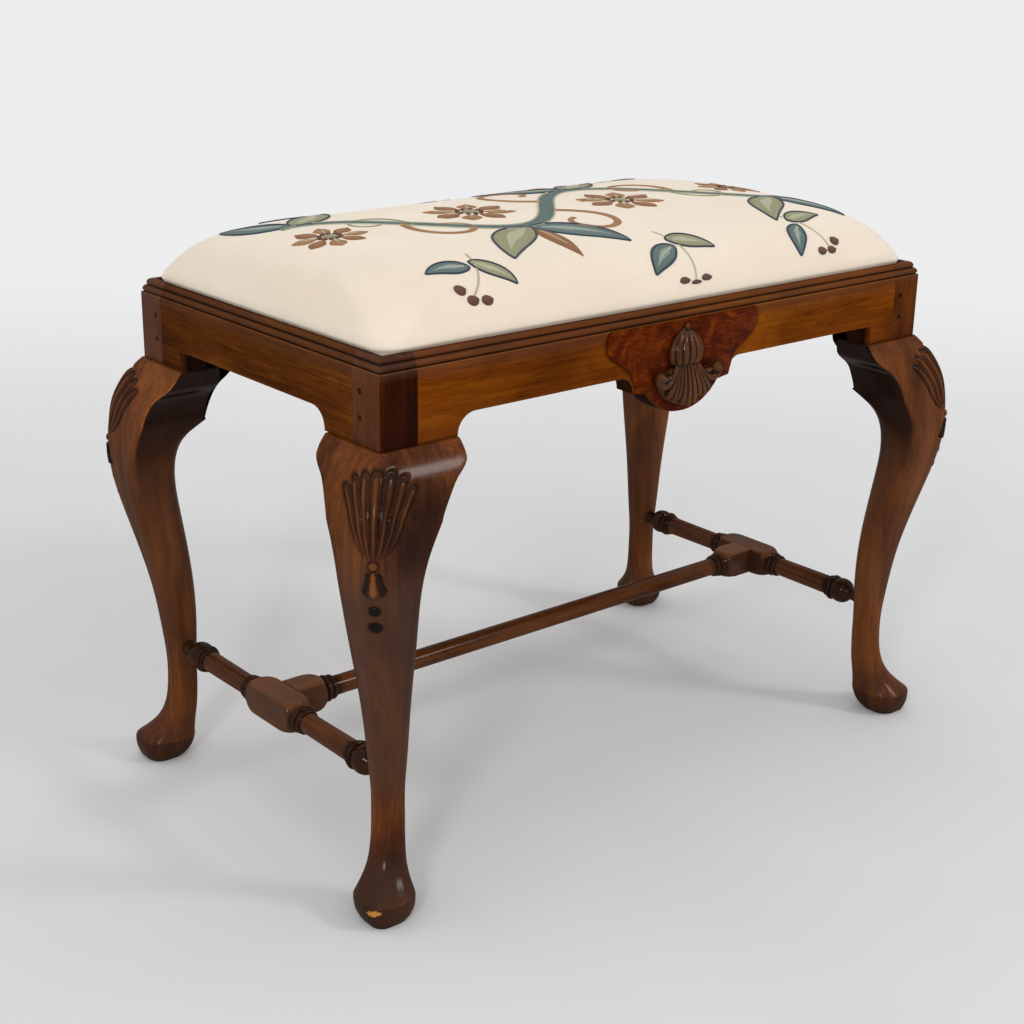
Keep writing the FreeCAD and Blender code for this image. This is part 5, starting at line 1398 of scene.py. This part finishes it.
CAMERA_PLACE, CAMERA_LENS, SENSOR = (-0.99761, -1.14653, 0.75852), 61.019, 36.0
CAMERA_TURNS = (40.0579, 19.4295, 0.9204)
LAMP_AIM = (0, 0, 0.3)
# Name, place, size and power.
LAMPS = (("key", (1.78, -2.42, 2.35), 0.66, 24.5), ("top", (-0.3, 0.3, 3.2), 2.4, 6),
         ("fill", (-2.6, -1.9, 1.7), 0.6, 27))
# The floor's half size, the way that it goes off in, and where along that way it turns into the backdrop.
FLOOR_REACH, FLOOR_WAY, BACKDROP = 30.0, (0.643, 0.766), (0.25, 2.2)
FLOOR_DARK, FLOOR_LIGHT, BACKDROP_TONE = (0.67, 0.67, 0.67), (0.71, 0.71, 0.71), (0.85, 0.85, 0.855, 1)
SKY_LOW, SKY_STRENGTH = (0.68, 0.68, 0.685), 0.85


def make_camera():
    """The camera of the photo's view, from its yaw, pitch and roll."""
    data = bpy.data.cameras.new("camera")
    data.sensor_width, data.lens = SENSOR, CAMERA_LENS
    data.clip_end = 100
    yaw, pitch, roll = [math.radians(turn) for turn in CAMERA_TURNS]
    ahead = Vector((math.cos(pitch) * math.sin(yaw), math.cos(pitch) * math.cos(yaw), -math.sin(pitch)))
    right = Vector((math.cos(yaw), -math.sin(yaw), 0))
    up = right.cross(ahead)
    across = math.cos(roll) * right + math.sin(roll) * up
    upward = -math.sin(roll) * right + math.cos(roll) * up
    camera = bpy.data.objects.new("camera", data)
    turn = Matrix((across, upward, -ahead)).transposed().to_4x4()
    camera.matrix_world = Matrix.Translation(Vector(CAMERA_PLACE)) @ turn
    bpy.context.scene.collection.objects.link(camera)
    bpy.context.scene.camera = camera


def make_floor():
    """A pale floor whose far part shows as a bright backdrop."""
    far = FLOOR_REACH / MM
    corners = [(-far, -far, 0), (far, -far, 0), (far, far, 0), (-far, far, 0)]
    floor = mesh_object("floor", corners, [(0, 1, 2, 3)])
    material, tree = new_material("floor_paper", FLOOR_DARK, 0.9, Specular_IOR_Level=0.1)
    parts = tree.parts(tree.node("TexCoord").outputs["Object"])
    away = tree.op("ADD", *[tree.op("MULTIPLY", part, share) for part, share in zip(parts, FLOOR_WAY)])
    span = tree.node("MapRange", interpolation_type="SMOOTHSTEP", From_Min=BACKDROP[0], From_Max=BACKDROP[1])
    tree.link(away, span.inputs["Value"])
    ray = tree.node("LightPath").outputs
    seen = tree.op("MAXIMUM", ray["Is Camera Ray"],
                   tree.op("MAXIMUM", ray["Is Glossy Ray"], ray["Is Transmission Ray"]))
    glow = tree.node("Emission", Color=BACKDROP_TONE, Strength=1.0)
    both = tree.node("MixShader")
    share = tree.op("MULTIPLY", seen, span.outputs[0])
    tree.feed(both.inputs, (share, tree.surface.outputs[0], glow.outputs[0]))
    tree.link(both.outputs[0], tree.tree.nodes["Material Output"].inputs["Surface"])
    tree.base(tree.ramp(tree.noise(tree.stretched(3), 4, 0.5), (0.3, FLOOR_DARK), (0.7, FLOOR_LIGHT)))
    give(floor, material)


def make_light():
    """A soft sky and three lamps."""
    world = bpy.data.worlds.new("studio")
    world.use_nodes = True
    tree = Shader(world.node_tree)
    upward = tree.parts(tree.node("TexCoord").outputs["Generated"])[2]
    background = world.node_tree.nodes["Background"]
    tree.link(tree.ramp(upward, (0.0, SKY_LOW), (0.75, WHITE)), background.inputs["Color"])
    background.inputs["Strength"].default_value = SKY_STRENGTH
    bpy.context.scene.world = world
    for name, where, size, power in LAMPS:
        data = bpy.data.lights.new(name, "AREA")
        data.shape, data.size, data.energy = "DISK", size, power
        lamp = bpy.data.objects.new(name, data)
        lamp.location = where
        lamp.rotation_euler = (Vector(LAMP_AIM) - Vector(where)).to_track_quat("-Z", "Y").to_euler()
        bpy.context.scene.collection.objects.link(lamp)


make_camera()
make_floor()
make_light()
bpy.context.scene.view_settings.view_transform = "Standard"
